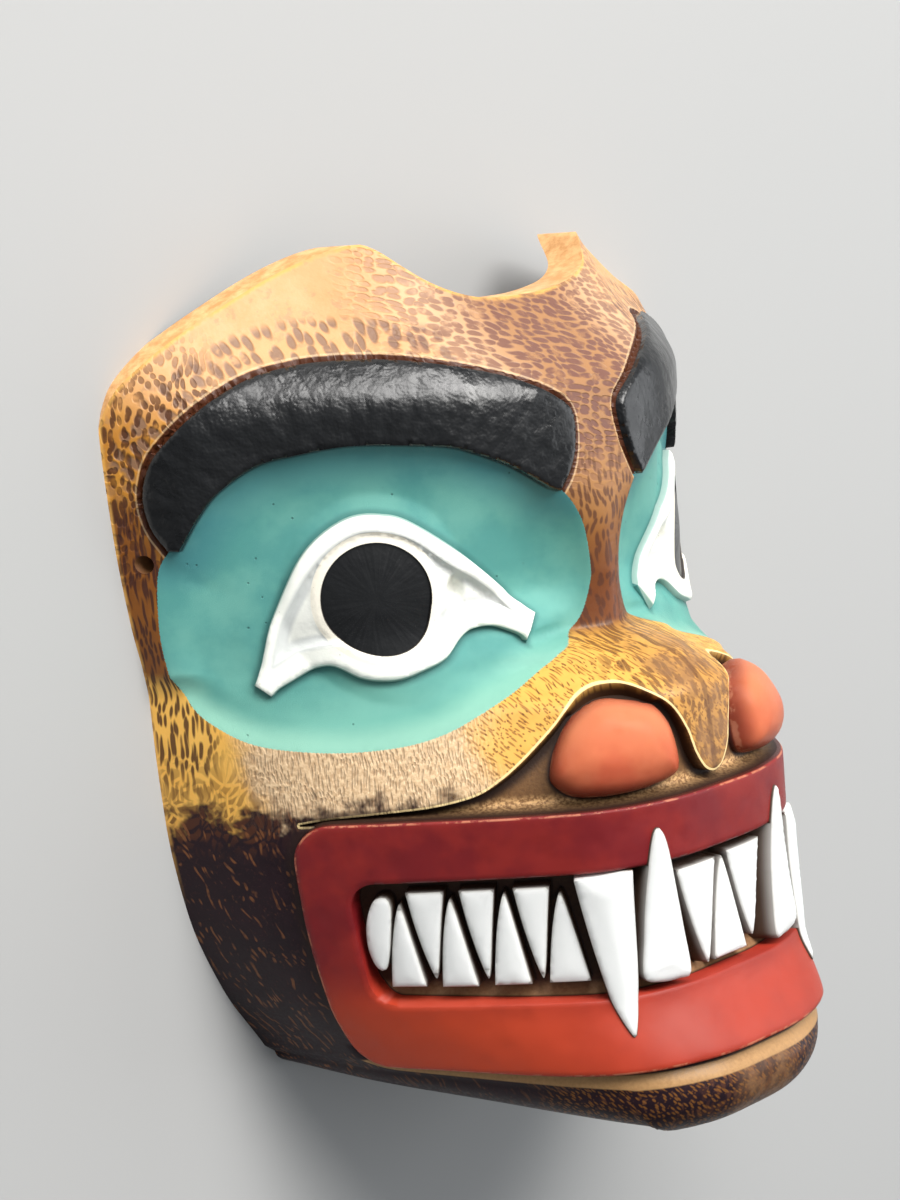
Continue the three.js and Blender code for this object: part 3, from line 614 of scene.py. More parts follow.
def hole_on_skin():
    """The tie hole's mouth on the skin of the +X temple."""
    turns = np.linspace(0, 2 * math.pi, 28, endpoint=False)
    h = TIE_HOLE_HEIGHT + TIE_HOLE_RADIUS * np.sin(turns)
    z = TIE_HOLE_DEPTH + TIE_HOLE_RADIUS * np.cos(turns)
    girths = np.linspace(60, GIRTH, 241)
    s = [np.interp(-depth, -ring_at(girths, height)[:, 2], girths) for height, depth in zip(h, z)]
    return np.column_stack([s, h]), h, z


def face_sheet():
    """The carved face: its points in the row's frame, triangles, and the girth and height of each point."""
    loop = whole_loop()
    hole, _, _ = hole_on_skin()
    lines = []
    for outline in SIDES.values():
        for shift in (STEP_WIDTH / 2, -STEP_WIDTH / 2):
            moved = offset(outline, shift)
            lines += [moved, moved * [-1, 1]]
    for outline in ACROSS.values():
        lines += [offset(outline, STEP_WIDTH / 2), offset(outline, -STEP_WIDTH / 2)]
    lines += [hole, hole * [-1, 1]]
    points = lattice((-GIRTH, SHEET_LOWEST), (GIRTH, 78), LATTICE, 5)
    shelf = lattice((-30, 5.4), (30, 12.6), LATTICE, 6)
    points = np.concatenate([points, shelf + [LATTICE / 2, LATTICE / 3]])
    far = distances(points[:, 0], points[:, 1])
    closest = np.min([np.abs(value) for value in far.values()], axis=0)
    in_loop = inside(loop, points[:, 0], points[:, 1], 1.0)
    to_hole = np.max([inside(edge, *points.T, 1.0) for edge in (hole, hole * [-1, 1])], axis=0)
    points = points[(closest > KEEP_OFF) & (in_loop > KEEP_OFF) & (to_hole < -KEEP_OFF)]
    flat, faces = fill(loop, lines, points)
    middle = np.abs(flat[faces].mean(1)[:, 0]), flat[faces].mean(1)[:, 1]
    faces = faces[inside(hole, *middle, 1.0) < 0]
    s, h = flat.T
    far = distances(s, h)
    far["edge"] = inside(loop, s, h, 0.1)
    rise = relief(s, h, far) * ramp(far["edge"], 1.5)
    base, normal = skin(s, h), normals(s, h)
    bowl = far["socket"] > 0
    calm = ramp(far["socket"], SOCKET_CALM)[:, None]
    calm = calm * calm * (3 - 2 * calm)
    places = [skin(s[bowl], h[bowl] + shift) for shift in CALM_SHIFTS]
    facings = [normals(s[bowl], h[bowl] + shift) for shift in CALM_SHIFTS]
    base[bowl] += calm[bowl] * (np.mean(places, axis=0) - base[bowl])
    normal[bowl] += calm[bowl] * (np.mean(facings, axis=0) - normal[bowl])
    normal /= np.linalg.norm(normal, axis=1, keepdims=True)
    solid_points = base + normal * rise[:, None]
    return to_row(solid_points), faces, far, s, h


# The back: the flat rim and the hollow, as depths over the mask's outline
BACK_X = np.arange(0, 68, 1.0)
BACK_Y = np.arange(DRAWN_LOWEST, 80.1, 1.0)


def hollow_table():
    """The hollow's depth behind each place, less than 0 for a place past the hollow."""
    girths = np.linspace(0, GIRTH, 46)
    table = []
    for y in BACK_Y:
        heights = [max(y + step, JAW_TURN - 0.1) for step in np.linspace(-WALL, WALL, 7)]
        rings = np.array([ring_at(girths, height)[:, [0, 2]] for height in heights])
        near = rings[np.linalg.norm(rings, axis=2).argmin(0), np.arange(len(girths))]
        radius = np.linalg.norm(near, axis=1, keepdims=True)
        pulled = near * (1 - (WALL + SOCKET_DEPTH / 4) / radius)
        order = np.argsort(pulled[:, 0])
        depth = np.interp(BACK_X, pulled[order, 0], pulled[order, 1])
        past = BACK_X - pulled[:, 0].max()
        table.append(np.where(past > 0, -past, depth))
    table = np.array(table)
    for _ in range(3):
        table[1:-1] = (table[:-2] + 2 * table[1:-1] + table[2:]) / 4
        table[:, 1:-1] = (table[:, :-2] + 2 * table[:, 1:-1] + table[:, 2:]) / 4
    return table


HOLLOW = hollow_table()
RIM_LOWEST = DRAWN_LOWEST + JAW_LIFT
HOLLOW_FLOOR = RIM_LOWEST + WALL


def back_depth(x, y):
    """Height of the back's surface over the back plane."""
    u = np.clip(np.abs(x), 0, BACK_X[-1] - 0.001)
    v = np.clip(y - BACK_Y[0], 0, len(BACK_Y) - 1.001)
    i, j = v.astype(int), u.astype(int)
    f, g = v - i, u - j
    depth = (HOLLOW[i, j] * (1 - g) + HOLLOW[i, j + 1] * g) * (1 - f)
    depth += (HOLLOW[i + 1, j] * (1 - g) + HOLLOW[i + 1, j + 1] * g) * f
    return np.where(y > HOLLOW_FLOOR, np.maximum(depth, 0), 0)


def footprint():
    """Where the hollow begins on the back plane, from the floor of the hollow up the +X side."""
    y = np.arange(HOLLOW_FLOOR, 70, 1.2)
    reach = np.arange(0, 67, 0.1)
    x = []
    for height in y:
        depth = back_depth(reach, np.full(len(reach), height + 0.01))
        x.append(reach[np.nonzero(depth > 0.001)[0][-1]])
    return np.column_stack([x, y])


def back_sheet(rim, top):
    """The back over the outline made by the rim's points and the top edge's, both seen from the front."""
    loop = np.concatenate([rim, top])
    edge = footprint()
    ring = np.concatenate([edge, edge[::-1] * [-1, 1]])
    h, z = hole_on_skin()[1:]
    reach = np.arange(45, 64, 0.05)
    hole = []
    for height, depth in zip(h, z):
        hole.append((np.interp(-depth, -back_depth(reach, np.full(len(reach), height)), reach), height))
    hole = np.array(hole)
    lines = [hole, hole * [-1, 1]]
    ring = straight(np.concatenate([ring, ring[:1]]), 1.0)
    ring = ring[inside(loop, ring[:, 0], ring[:, 1], 2) > 1.2]
    floor = np.column_stack([np.linspace(-28, 28, 41), np.full(41, HOLLOW_FLOOR)])
    points = lattice((-68, DRAWN_LOWEST), (68, 78), BACK_LATTICE, 7)
    points = np.concatenate([points, ring, floor + [0, 0.1], floor - [0, 0.1]])
    keep = inside(loop, points[:, 0], points[:, 1], 2) > 0.8
    for side in (-1, 1):
        keep &= inside(hole, side * points[:, 0], points[:, 1], 2) < -0.3
    flat, faces = fill(loop, lines, points[keep])
    middle = flat[faces].mean(1)
    faces = faces[inside(hole, np.abs(middle[:, 0]), middle[:, 1], 1.0) < 0]
    depth = back_depth(*flat.T)
    return np.column_stack([flat, depth]), faces[:, ::-1], hole


def assemble():
    """The closed mask as sheets that share edges, and the face's distances, girths and heights."""
    face, faces, far, s, h = face_sheet()
    hole, hole_h, hole_z = hole_on_skin()
    edge = {"jaw": skin(*JAW_LINE.T), "side": skin(*SIDE.T)}
    edge["side"][:, 2] = 0
    top_front = skin(*np.concatenate([TOP_RIGHT, TOP_LEFT[-2::-1]]).T)
    top_front[:, 2] = np.maximum(top_front[:, 2], 0)
    behind = np.minimum(back_depth(*top_front[:, :2].T), top_front[:, 2])
    top_back = np.column_stack([top_front[:, :2], behind])
    left_side = (edge["side"] * [-1, 1, 1])[::-1]
    foot = np.linspace((left_side[-1][0], RIM_LOWEST), (edge["side"][0][0], RIM_LOWEST), 50)[1:-1]
    rim = np.concatenate([left_side[:, :2], foot, edge["side"][:, :2]])
    back, back_faces, back_hole = back_sheet(rim, top_front[:, :2])
    under = np.concatenate([edge["jaw"][:, [0, 2]], np.column_stack([foot[::-1, 0], np.zeros(len(foot))])])
    grid = lattice((-45, 0), (45, 80), BACK_LATTICE, 8)
    grid = grid[inside(under, grid[:, 0], grid[:, 1], 2) > 1.2]
    under_flat, under_faces = fill(under, [], grid)
    lowest = np.full(len(under_flat), DRAWN_LOWEST)
    x, z = under_flat.T
    under_points = np.column_stack([x, lowest + jaw_lift(lowest, z), z])
    parts = [(face, faces), (to_row(back), back_faces), (to_row(under_points), under_faces)]
    parts.append(strip(to_row(top_front), to_row(top_back), False))
    mouth_of_hole = np.column_stack([skin(*hole.T)[:, 0], hole_h, hole_z])
    inner_hole = np.column_stack([back_hole, hole_z])
    parts.append(strip(to_row(mouth_of_hole), to_row(inner_hole), True))
    mirror = np.array([-1, 1, 1])
    points, triangles = strip(to_row(mouth_of_hole * mirror), to_row(inner_hole * mirror), True)
    parts.append((points, triangles[:, ::-1]))
    return parts, far, s, h


def strip(first, second, closed):
    """Triangles between two lines of as many points."""
    n = len(first)
    pairs = [(i, (i + 1) % n) for i in range(n if closed else n - 1)]
    triangles = [t for i, j in pairs for t in ((i, j, n + j), (i, n + j, n + i))]
    return np.concatenate([first, second]), np.array(triangles)


WELD = 0.004 * MM


def weld(points, count):
    """For each point past the first count, the number of an earlier point that lies on it, or its own."""
    tree = KDTree(len(points))
    for i, point in enumerate(points):
        tree.insert(point, i)
    tree.balance()
    same = np.arange(len(points))
    for i in range(count, len(points)):
        same[i] = min(j for _, j, _ in tree.find_range(points[i], WELD))
    return same


ZONES = [
    "carved", "recess", "nostril", "socket", "brow", "eye", "pupil", "lips", "mouth", "tooth",
    "back", "under", "edge",
]
# The zones of the sheets, the carved face first, whose own triangles get theirs one by one
PART_ZONES = ["carved", "back", "under", "edge", "back", "back"]
# A raised field's paint reaches this far out over its edge, and a sunk one's starts this far in
RAISED = -0.03
SUNK = 0.03


def zones(far, faces):
    """The paint of each triangle of the carved face."""
    mean = {name: far[name][faces].mean(1) for name in far}
    zone = np.zeros(len(faces), int)
    for name, edge in (
        ("recess", SUNK), ("nostril", RAISED), ("socket", 0), ("brow", RAISED), ("eye", RAISED),
        ("pupil", SUNK), ("lips", RAISED), ("mouth", SUNK), ("tooth", RAISED), ("fang", RAISED),
    ):
        zone[mean[name] > edge] = ZONES.index("tooth" if name == "fang" else name)
    return zone


def face_outwards(mesh):
    editable = bmesh.new()
    editable.from_mesh(mesh)
    bmesh.ops.recalc_face_normals(editable, faces=editable.faces)
    editable.to_mesh(mesh)
    editable.free()


def build_mask():
    parts, far, s, h = assemble()
    count = len(parts[0][0])
    points, triangles, zone, start = [], [], [zones(far, parts[0][1])], 0
    for number, (vertices, faces) in enumerate(parts):
        points.append(vertices)
        triangles.append(faces + start)
        start += len(vertices)
        if number:
            zone.append(np.full(len(faces), ZONES.index(PART_ZONES[number])))
    points, triangles, zone = np.concatenate(points), np.concatenate(triangles), np.concatenate(zone)
    same = weld(points, count)
    triangles = same[triangles]
    a, b, c = triangles.T
    whole = (a != b) & (b != c) & (c != a)
    triangles, zone = triangles[whole], zone[whole]
    used, triangles = np.unique(triangles, return_inverse=True)
    triangles = triangles.reshape(-1, 3)
    mesh = bpy.data.meshes.new("bear_mask_surface")
    mesh.from_pydata(points[used].tolist(), [], triangles.tolist())
    kept = used < count
    for name, values in {**far, "girth": s, "height": h}.items():
        layer = mesh.attributes.new(name, "FLOAT", "POINT")
        full = np.zeros(len(used), np.float32)
        full[kept] = values[used[kept]]
        layer.data.foreach_set("value", full)
    mesh.polygons.foreach_set("material_index", zone.astype(np.int32))
    face_outwards(mesh)
    mesh.shade_smooth()
    mesh.set_sharp_from_angle(angle=math.radians(58))
    mesh.update()
    piece = bpy.data.objects.new("carved_mask", mesh)
    bpy.context.scene.collection.objects.link(piece)
    return piece


mask = build_mask()


# Camera: the photo's, above the mask's -X cheek, in the drawing's millimetres
CAMERA_PLACE = (-314.7, 87.5, 339.5)
CAMERA_RIGHT = (0.7117, -0.0930, 0.6963)
CAMERA_UP = (0.1787, 0.9826, -0.0515)
CAMERA_LENS = 78.0
# Lamps: place and size in metres, power in watts and colour, all turned to LAMP_TARGET
LAMP_TARGET = (0, 0, 0.03)
LAMPS = {
    "key": ((0.12, 0.72, 1.0), 0.6, 15, (1, 0.98, 0.95)),
    "back": ((-0.3, 1.2, 0.76), 0.7, 16, (1, 0.98, 0.96)),
    "side": ((1.0, 0.0, 0.7), 0.9, 4, (0.96, 0.98, 1)),
}
# The sky is brightest on SKY_SIDE, and its strength falls to the least where the cosine is SKY_DIM_AT
SKY_COLOUR = (0.9, 0.95, 1, 1)
SKY_SIDE = (0.15, 0.62, 0.77)
SKY_DIM_AT = -0.3
SKY_STRENGTHS = (0.12, 0.6)
FLOOR_REACH = 3.0
FLOOR_COLOUR = (0.4, 0.4, 0.395, 1)
FLOOR_ROUGHNESS = 0.7


def add_camera():
    right, up = Vector(CAMERA_RIGHT).normalized(), Vector(CAMERA_UP).normalized()
    back = right.cross(up).normalized()
    up = back.cross(right)
    camera = bpy.data.objects.new("camera", bpy.data.cameras.new("camera"))
    camera.data.lens = CAMERA_LENS
    camera.data.sensor_width = 36
    place = (Vector(CAMERA_PLACE) - Vector((0, MIDDLE, 0))) * MM
    camera.matrix_world = Matrix.Translation(place) @ Matrix((right, up, back)).transposed().to_4x4()
    bpy.context.scene.collection.objects.link(camera)
    bpy.context.scene.camera = camera


def add_lamp(name, place, size, power, colour):
    """A soft square lamp."""
    lamp = bpy.data.lights.new(name, "AREA")
    lamp.size = size
    lamp.energy = power
    lamp.color = colour
    light = bpy.data.objects.new(name, lamp)
    light.location = place
    light.rotation_euler = (Vector(LAMP_TARGET) - Vector(place)).to_track_quat("-Z", "Y").to_euler()
    bpy.context.scene.collection.objects.link(light)


def add_sky():
    world = bpy.data.worlds.new("studio")
    world.use_nodes = True
    nodes, links = world.node_tree.nodes, world.node_tree.links
    nodes["Background"].inputs["Color"].default_value = SKY_COLOUR
    towards = nodes.new("ShaderNodeVectorMath")
    towards.operation = "DOT_PRODUCT"
    towards.inputs[1].default_value = SKY_SIDE
    links.new(nodes.new("ShaderNodeTexCoord").outputs["Generated"], towards.inputs[0])
    sky = nodes.new("ShaderNodeMapRange")
    sky.inputs["From Min"].default_value = SKY_DIM_AT
    sky.inputs["To Min"].default_value, sky.inputs["To Max"].default_value = SKY_STRENGTHS
    links.new(towards.outputs["Value"], sky.inputs["Value"])
    links.new(sky.outputs["Result"], nodes["Background"].inputs["Strength"])
    bpy.context.scene.world = world


def add_floor():
    mesh = bpy.data.meshes.new("floor")
    corners = [(x * FLOOR_REACH, y * FLOOR_REACH, 0) for x, y in ((-1, -1), (1, -1), (1, 1), (-1, 1))]
    mesh.from_pydata(corners, [], [(0, 1, 2, 3)])
    floor = bpy.data.objects.new("floor", mesh)
    bpy.context.scene.collection.objects.link(floor)
    material = bpy.data.materials.new("pale_floor")
    material.use_nodes = True
    shader = material.node_tree.nodes["Principled BSDF"]
    shader.inputs["Base Color"].default_value = FLOOR_COLOUR
    shader.inputs["Roughness"].default_value = FLOOR_ROUGHNESS
    mesh.materials.append(material)


# How far the upper edge of the brow lies from the middle of the eye
BROW_REACH = 36.0
# The slow noise that bends the marks, in waves a millimetre, and how far it can shift them
BEND_SCALE = 0.16
BEND_REACH = 4


def as_light(screen):
    """A tone's screen values from 0 to 255 as light."""
    return tuple((c / 255 / 12.92) if c < 10 else ((c / 255 + 0.055) / 1.055) ** 2.4 for c in screen)


class Paint:
    """The nodes of one material. A triple of numbers is a tone, in screen values."""

    def __init__(self, name, roughness, specular, coat=0.0, coat_roughness=0.1):
        self.material = bpy.data.materials.new(name)
        self.material.use_nodes = True
        self.tree = self.material.node_tree
        self.shader = self.tree.nodes["Principled BSDF"]
        self.shader.inputs["Roughness"].default_value = roughness
        self.shader.inputs["Specular IOR Level"].default_value = specular
        self.shader.inputs["Coat Weight"].default_value = coat
        self.shader.inputs["Coat Roughness"].default_value = coat_roughness
        self.place = self.node("ShaderNodeTexCoord").outputs["Object"]
        self.known = {}

    def node(self, kind, **settings):
        made = self.tree.nodes.new(kind)
        for name, value in settings.items():
            setattr(made, name, value)
        return made

    def feed(self, socket, value):
        """Links a socket, or sets it to a number or a tone."""
        if isinstance(value, bpy.types.NodeSocket):
            self.tree.links.new(value, socket)
        else:
            socket.default_value = (*as_light(value), 1) if isinstance(value, tuple) else value

    def placed(self, kind, place, values, **settings):
        """A node that reads places, with some of its inputs set."""
        made = self.node(kind, **settings)
        self.feed(made.inputs["Vector"], place)
        for name, value in values.items():
            made.inputs[name].default_value = value
        return made

    def attribute(self, name):
        if name not in self.known:
            self.known[name] = self.node("ShaderNodeAttribute", attribute_name=name).outputs["Fac"]
        return self.known[name]

    def math(self, operation, *values):
        made = self.node("ShaderNodeMath", operation=operation)
        for socket, value in zip(made.inputs, values):
            self.feed(socket, value)
        return made.outputs[0]

    def times(self, *values):
        return reduce(lambda a, b: self.math("MULTIPLY", a, b), values)

    def plus(self, *values):
        return reduce(lambda a, b: self.math("ADD", a, b), values)

    def between(self, value, start, end, first=0.0, last=1.0):
        """A value that goes smoothly from first to last as another goes from start to end."""
        made = self.node("ShaderNodeMapRange", interpolation_type="SMOOTHSTEP")
        for socket, number in zip(made.inputs, (value, start, end, first, last)):
            self.feed(socket, number)
        return made.outputs[0]

    def band(self, value, start, end, soft):
        """1 while a value is between start and end, with soft sides."""
        return self.times(self.between(value, start - soft, start), self.between(value, end + soft, end))

    def blend(self, amount, a, b):
        made = self.node("ShaderNodeMix", data_type="RGBA")
        for number, value in ((0, amount), (6, a), (7, b)):
            self.feed(made.inputs[number], value)
        return made.outputs[2]

    def over(self, colour, layer, *cover):
        """A colour with a layer over it, where the product of the covers says."""
        return self.blend(self.times(*cover), colour, layer)

    def joined(self, x, y):
        made = self.node("ShaderNodeCombineXYZ")
        self.feed(made.inputs[0], x)
        self.feed(made.inputs[1], y)
        return made.outputs[0]

    def face_place(self, stretch, turn=0.0):
        """Girth and height on the face as coordinates in millimetres, turned and then stretched."""
        flat = self.joined(self.attribute("girth"), self.attribute("height"))
        turned = self.placed("ShaderNodeMapping", flat, {"Rotation": (0, 0, turn)}).outputs[0]
        return self.placed("ShaderNodeMapping", turned, {"Scale": stretch}).outputs[0]

    def noise(self, scale, detail, rough=0.5, place=None):
        """Noise of so many waves a millimetre, or a unit of the places that are given."""
        values = {"Scale": scale if place else scale * PER_MM, "Detail": detail, "Roughness": rough}
        return self.placed("ShaderNodeTexNoise", place or self.place, values).outputs["Fac"]

    def mottle(self, scale, detail, rough, stretch, turn=0.0):
        """Noise on the face with so many waves a micrometre, which is too fine to be seen as marks."""
        return self.noise(scale * PER_MM, detail, rough, self.face_place(stretch, turn))

    def cells(self, scale, place=None, feature="F1", random=1.0):
        values = {"Scale": scale if place else scale * PER_MM, "Randomness": random}
        settings = {"feature": feature, "voronoi_dimensions": "2D" if place else "3D"}
        made = self.placed("ShaderNodeTexVoronoi", place or self.place, values, **settings)
        return made.outputs["Distance"]

    def marks(self, size, turn, reach, soft, warp=0.55, random=1.0):
        """Small ovals of a size in millimetres: 1 in the middle of each, 0 past its reach."""
        place = self.bent(self.face_place((1 / size[0], 1 / size[1], 1), turn), warp)
        return self.between(self.cells(1.0, place, random=random), reach, reach - soft)

    def rays(self, size):
        """Places round the eye in units of a size: first round it at the brow, then away from it."""
        across = self.math("SUBTRACT", self.math("ABSOLUTE", self.attribute("girth")), EYE_CENTRE[0])
        up = self.math("SUBTRACT", self.attribute("height"), EYE_CENTRE[1])
        away = self.math("SQRT", self.plus(self.times(across, across), self.times(up, up)))
        turned = self.times(self.math("ARCTAN2", up, across), BROW_REACH / size[0])
        return self.joined(turned, self.times(away, 1 / size[1]))

    def bent(self, place, amount):
        """Places bent by a slow noise, which is the same for all the marks of a paint."""
        if "bend" not in self.known:
            values = {"Scale": BEND_SCALE * PER_MM, "Detail": 1.0}
            self.known["bend"] = self.placed("ShaderNodeTexNoise", self.place, values).outputs["Color"]
        shift = self.node("ShaderNodeVectorMath", operation="SCALE")
        self.feed(shift.inputs[0], self.known["bend"])
        shift.inputs["Scale"].default_value = amount * BEND_REACH
        total = self.node("ShaderNodeVectorMath", operation="ADD")
        self.feed(total.inputs[0], place)
        self.feed(total.inputs[1], shift.outputs[0])
        return total.outputs[0]

    def finish(self, colour, height, depth, roughness=None):
        """Sets the colour, and the bump from a height of 0 to 1 that is so many millimetres deep."""
        self.feed(self.shader.inputs["Base Color"], colour)
        if roughness is not None:
            self.feed(self.shader.inputs["Roughness"], roughness)
        bump = self.node("ShaderNodeBump")
        bump.inputs["Distance"].default_value = depth * MM
        self.feed(bump.inputs["Height"], height)
        self.feed(self.shader.inputs["Normal"], bump.outputs[0])
        return self.material


def ground_tones(paint, face):
    """The stain's broad tones, before any tool mark."""
    girth, height, h, s, smudge = face.girth, face.height, face.h, face.s, face.smudge
    grain, lower_face, jaw = face.grain, face.lower_face, face.jaw
    snout_part, cheek = face.snout_part, face.cheek
    forehead = paint.blend(smudge, (222, 172, 124), (204, 148, 92))
    golden = paint.blend(smudge, (212, 150, 56), (176, 112, 40))
    beige = paint.blend(paint.between(grain, 0.3, 0.7), (202, 168, 130), (236, 206, 166))
    snout = paint.blend(smudge, (236, 184, 92), (212, 150, 66))
    middle = paint.blend(paint.between(girth, 26, 6), (210, 168, 130), (160, 116, 78))
    bridge = paint.blend(
        paint.between(h, 16, 46), paint.blend(smudge, (94, 50, 26), (122, 70, 34)), (172, 122, 60)
    )
    dark = paint.blend(smudge, (40, 17, 26), (18, 5, 14))
    strip = paint.blend(smudge, (150, 92, 30), (118, 66, 24))

    near_middle = paint.between(s, 34, 20)
    base = paint.blend(near_middle, forehead, middle)
    base = paint.over(base, golden, paint.between(s, 68, 78), paint.between(h, 62, 50))
    base = paint.over(base, strip, paint.between(s, 79, 85), paint.between(h, 44, 34))
    between_eyes = paint.times(paint.between(girth, 14, 9), paint.between(h, 46, 26))
    base = paint.over(base, bridge, between_eyes)
    base = paint.over(base, snout, snout_part)
    base = paint.over(base, beige, snout_part, cheek)
    base = paint.over(
        base, paint.blend(smudge, (246, 198, 104), (232, 168, 70)), lower_face, paint.between(s, 72, 80)
    )
    nose_ridge = paint.times(paint.between(girth, 11, 4), paint.between(height, 14, 4))
    base = paint.over(base, (176, 122, 62), nose_ridge, 0.6)
    base = paint.over(base, dark, jaw)
    return base


def brow_marks(paint, face, base):
    """Ovals along the brow, rows of dents on the forehead's middle, holes on the temple."""
    girth, height, h, s, smudge = face.girth, face.height, face.h, face.s, face.smudge
    ovals = paint.between(paint.cells(1.0, paint.bent(paint.rays((1.75, 3.3)), 0.2), random=0.8), 0.5, 0.26)
    oval_part = paint.times(paint.between(s, 18, 28), paint.between(h, 38, 46))
    oval_dents = paint.times(ovals, oval_part, paint.between(paint.attribute("brow"), -7.9, -6.0))
    base = paint.over(base, (126, 98, 82), oval_dents, paint.between(smudge, 0.28, 0.46, 0.1, 0.85))
    stains = paint.between(paint.noise(0.34, 3, 0.7), 0.54, 0.66)
    stains = paint.times(stains, paint.between(h, 44, 52), paint.between(s, 26, 40))
    base = paint.over(base, (160, 126, 96), stains, 0.4)

    dents = paint.marks((2.7, 1.1), 0.25, 0.56, 0.22, 0.5, 0.55)
    dent_cover = paint.times(paint.between(s, 42, 28), paint.between(height, 30, 44))
    deep = paint.between(girth, 30, 8, 0.55, 0.9)
    uneven = paint.between(paint.noise(0.3, 3, 0.6), 0.26, 0.5)
    dents = paint.times(dents, dent_cover)
    dent_dark = paint.times(dents, uneven, deep)
    base = paint.over(base, (110, 74, 66), dent_dark)

    grains = paint.marks((1.15, 2.8), 0.0, 0.46, 0.24)
    ridge_cover = paint.times(paint.between(girth, 17, 10), paint.between(h, 46, 34))
    base = paint.over(base, (80, 46, 32), grains, ridge_cover, 0.8)

    holes = paint.marks((1.35, 2.0), 0.15, 0.5, 0.2, 0.7)
    temple = paint.times(paint.between(s, 62, 72), paint.between(h, 70, 54))
    thick = paint.between(paint.noise(0.2, 3, 0.6), 0.24, 0.46)
    holes = paint.times(holes, temple, paint.between(h, 22, 36))
    base = paint.over(base, (78, 42, 22), holes, thick, 0.9)
    streaks = paint.marks((0.75, 3.6), 0.06, 0.52, 0.26)
    strip_part = paint.times(paint.between(s, 77, 82), paint.between(h, 44, 34), paint.between(h, -14, -4))
    base = paint.over(base, (66, 34, 26), streaks, strip_part, 0.9)
    return base, paint.plus(oval_dents, dents, holes)


def cheek_marks(paint, face, base):
    """Fine hair on the cheek, flecks and pits on the snout, and a bar down its ridge."""
    girth, height, h, s, smudge = face.girth, face.height, face.h, face.s, face.smudge
    lower_face, snout_part, cheek = face.lower_face, face.snout_part, face.cheek
    cheek_part = paint.times(lower_face, cheek, paint.between(h, -18, -10))
    hair = paint.marks((0.5, 1.9), 0.1, 0.5, 0.3, 0.9)
    hair = paint.times(hair, cheek_part)
    base = paint.over(base, (132, 106, 84), hair, 0.3)
    gold = paint.between(paint.mottle(0.9, 3, 0.7, (0.5, 1.3, 1), -0.5), 0.56, 0.66)
    gold_part = paint.times(lower_face, paint.between(h, -18, -10), paint.between(s, 40, 48, 0.9, 0.35))
    base = paint.over(base, (226, 168, 62), gold, gold_part, paint.between(s, 88, 80))
    flecks = paint.marks((0.62, 1.9), -0.75, 0.36, 0.2)
    fleck_part = paint.times(snout_part, paint.between(s, 44, 34))
    base = paint.over(base, (132, 84, 34), flecks, fleck_part, 0.75)
    pits = paint.marks((1.1, 1.1), 0.0, 0.2, 0.12)
    base = paint.over(base, (92, 56, 26), pits, fleck_part, 0.75)
    bar = paint.times(paint.between(girth, 9, 5), paint.between(height, 12, 5))
    bar_stain = paint.times(bar, paint.between(smudge, 0.4, 0.6, 0.25, 0.75))
    base = paint.over(base, (136, 98, 64), bar_stain)
    base = paint.over(base, (92, 58, 36), paint.between(girth, 0.75, 0.3), bar, 0.6)
    return base, hair


def jaw_marks(paint, face, base):
    """A yellow net round dark holes on the cheek's corner, bare strokes on the dark jaw."""
    h, s, grain, jaw = face.h, face.s, face.grain, face.jaw
    corner = paint.times(paint.between(h, 1, -6), paint.between(s, 66, 76))
    net = paint.between(
        paint.cells(1.0, paint.bent(paint.face_place((1 / 1.5, 1 / 2.1, 1), 0.5), 0.8), "DISTANCE_TO_EDGE"),
        0.1, 0.26
    )
    corner_dark = paint.times(net, corner, paint.between(h, -22, -15))
    base = paint.over(base, (78, 42, 24), corner_dark, paint.between(h, -2, -18, 0.25, 0.9))

    strokes = paint.marks((1.0, 5.0), -0.3, 0.3, 0.16, 0.9)
    sparse = paint.between(paint.noise(0.3, 2, 0.6), 0.42, 0.56)
    by_edge = paint.between(s, 60, 82, 0.4, 1.0)
    strokes = paint.times(strokes, jaw, sparse, by_edge)
    base = paint.over(base, (132, 82, 46), strokes, 0.8)
    specks = paint.times(paint.between(grain, 0.56, 0.72), jaw)
    base = paint.over(base, (78, 46, 42), specks, 0.3)
    return base


def edge_lines_and_painted_light(paint, face, base):
    """Dark lines in the steps of the carving, worn light edges, a painted highlight beside the brow's groove
    and a painted shadow on the step under the nose's edge.
    """
    height, smudge, grain = face.height, face.smudge, face.grain
    brow = paint.attribute("brow")
    # Painted highlight: a faint cream line along the outer edge of the brow's groove
    base = paint.over(base, (246, 216, 170), paint.band(brow, -1.6, -1.42, 0.14), 0.3)
    base = paint.over(base, (78, 40, 20), paint.band(brow, -1.2, 0.5, 0.22))
    recess = paint.attribute("recess")
    base = paint.over(base, (250, 222, 160), paint.band(recess, -0.36, -0.12, 0.1), 0.85)
    # Painted shadow: dark brown on the step down from the nose's edge
    base = paint.over(base, (60, 36, 20), paint.between(recess, -0.1, 0.02))
    lips = paint.attribute("lips")
    base = paint.over(base, (44, 26, 22), paint.between(lips, -2.4, -0.6), 0.75)
    ledge = paint.times(paint.band(lips, -2.9, -0.7, 0.35), paint.between(height, -57.2, -57.8))
    base = paint.over(base, paint.blend(grain, (150, 112, 72), (190, 148, 98)), ledge)
    base = paint.over(base, (40, 22, 18), paint.between(lips, -0.35, -0.05))
    edge = paint.attribute("edge")
    rim = paint.times(paint.between(edge, 0.8, 0.2), paint.between(height, -30, -10))
    base = paint.over(base, (228, 174, 92), rim, paint.between(smudge, 0.36, 0.56, 0.15, 0.7))
    return base


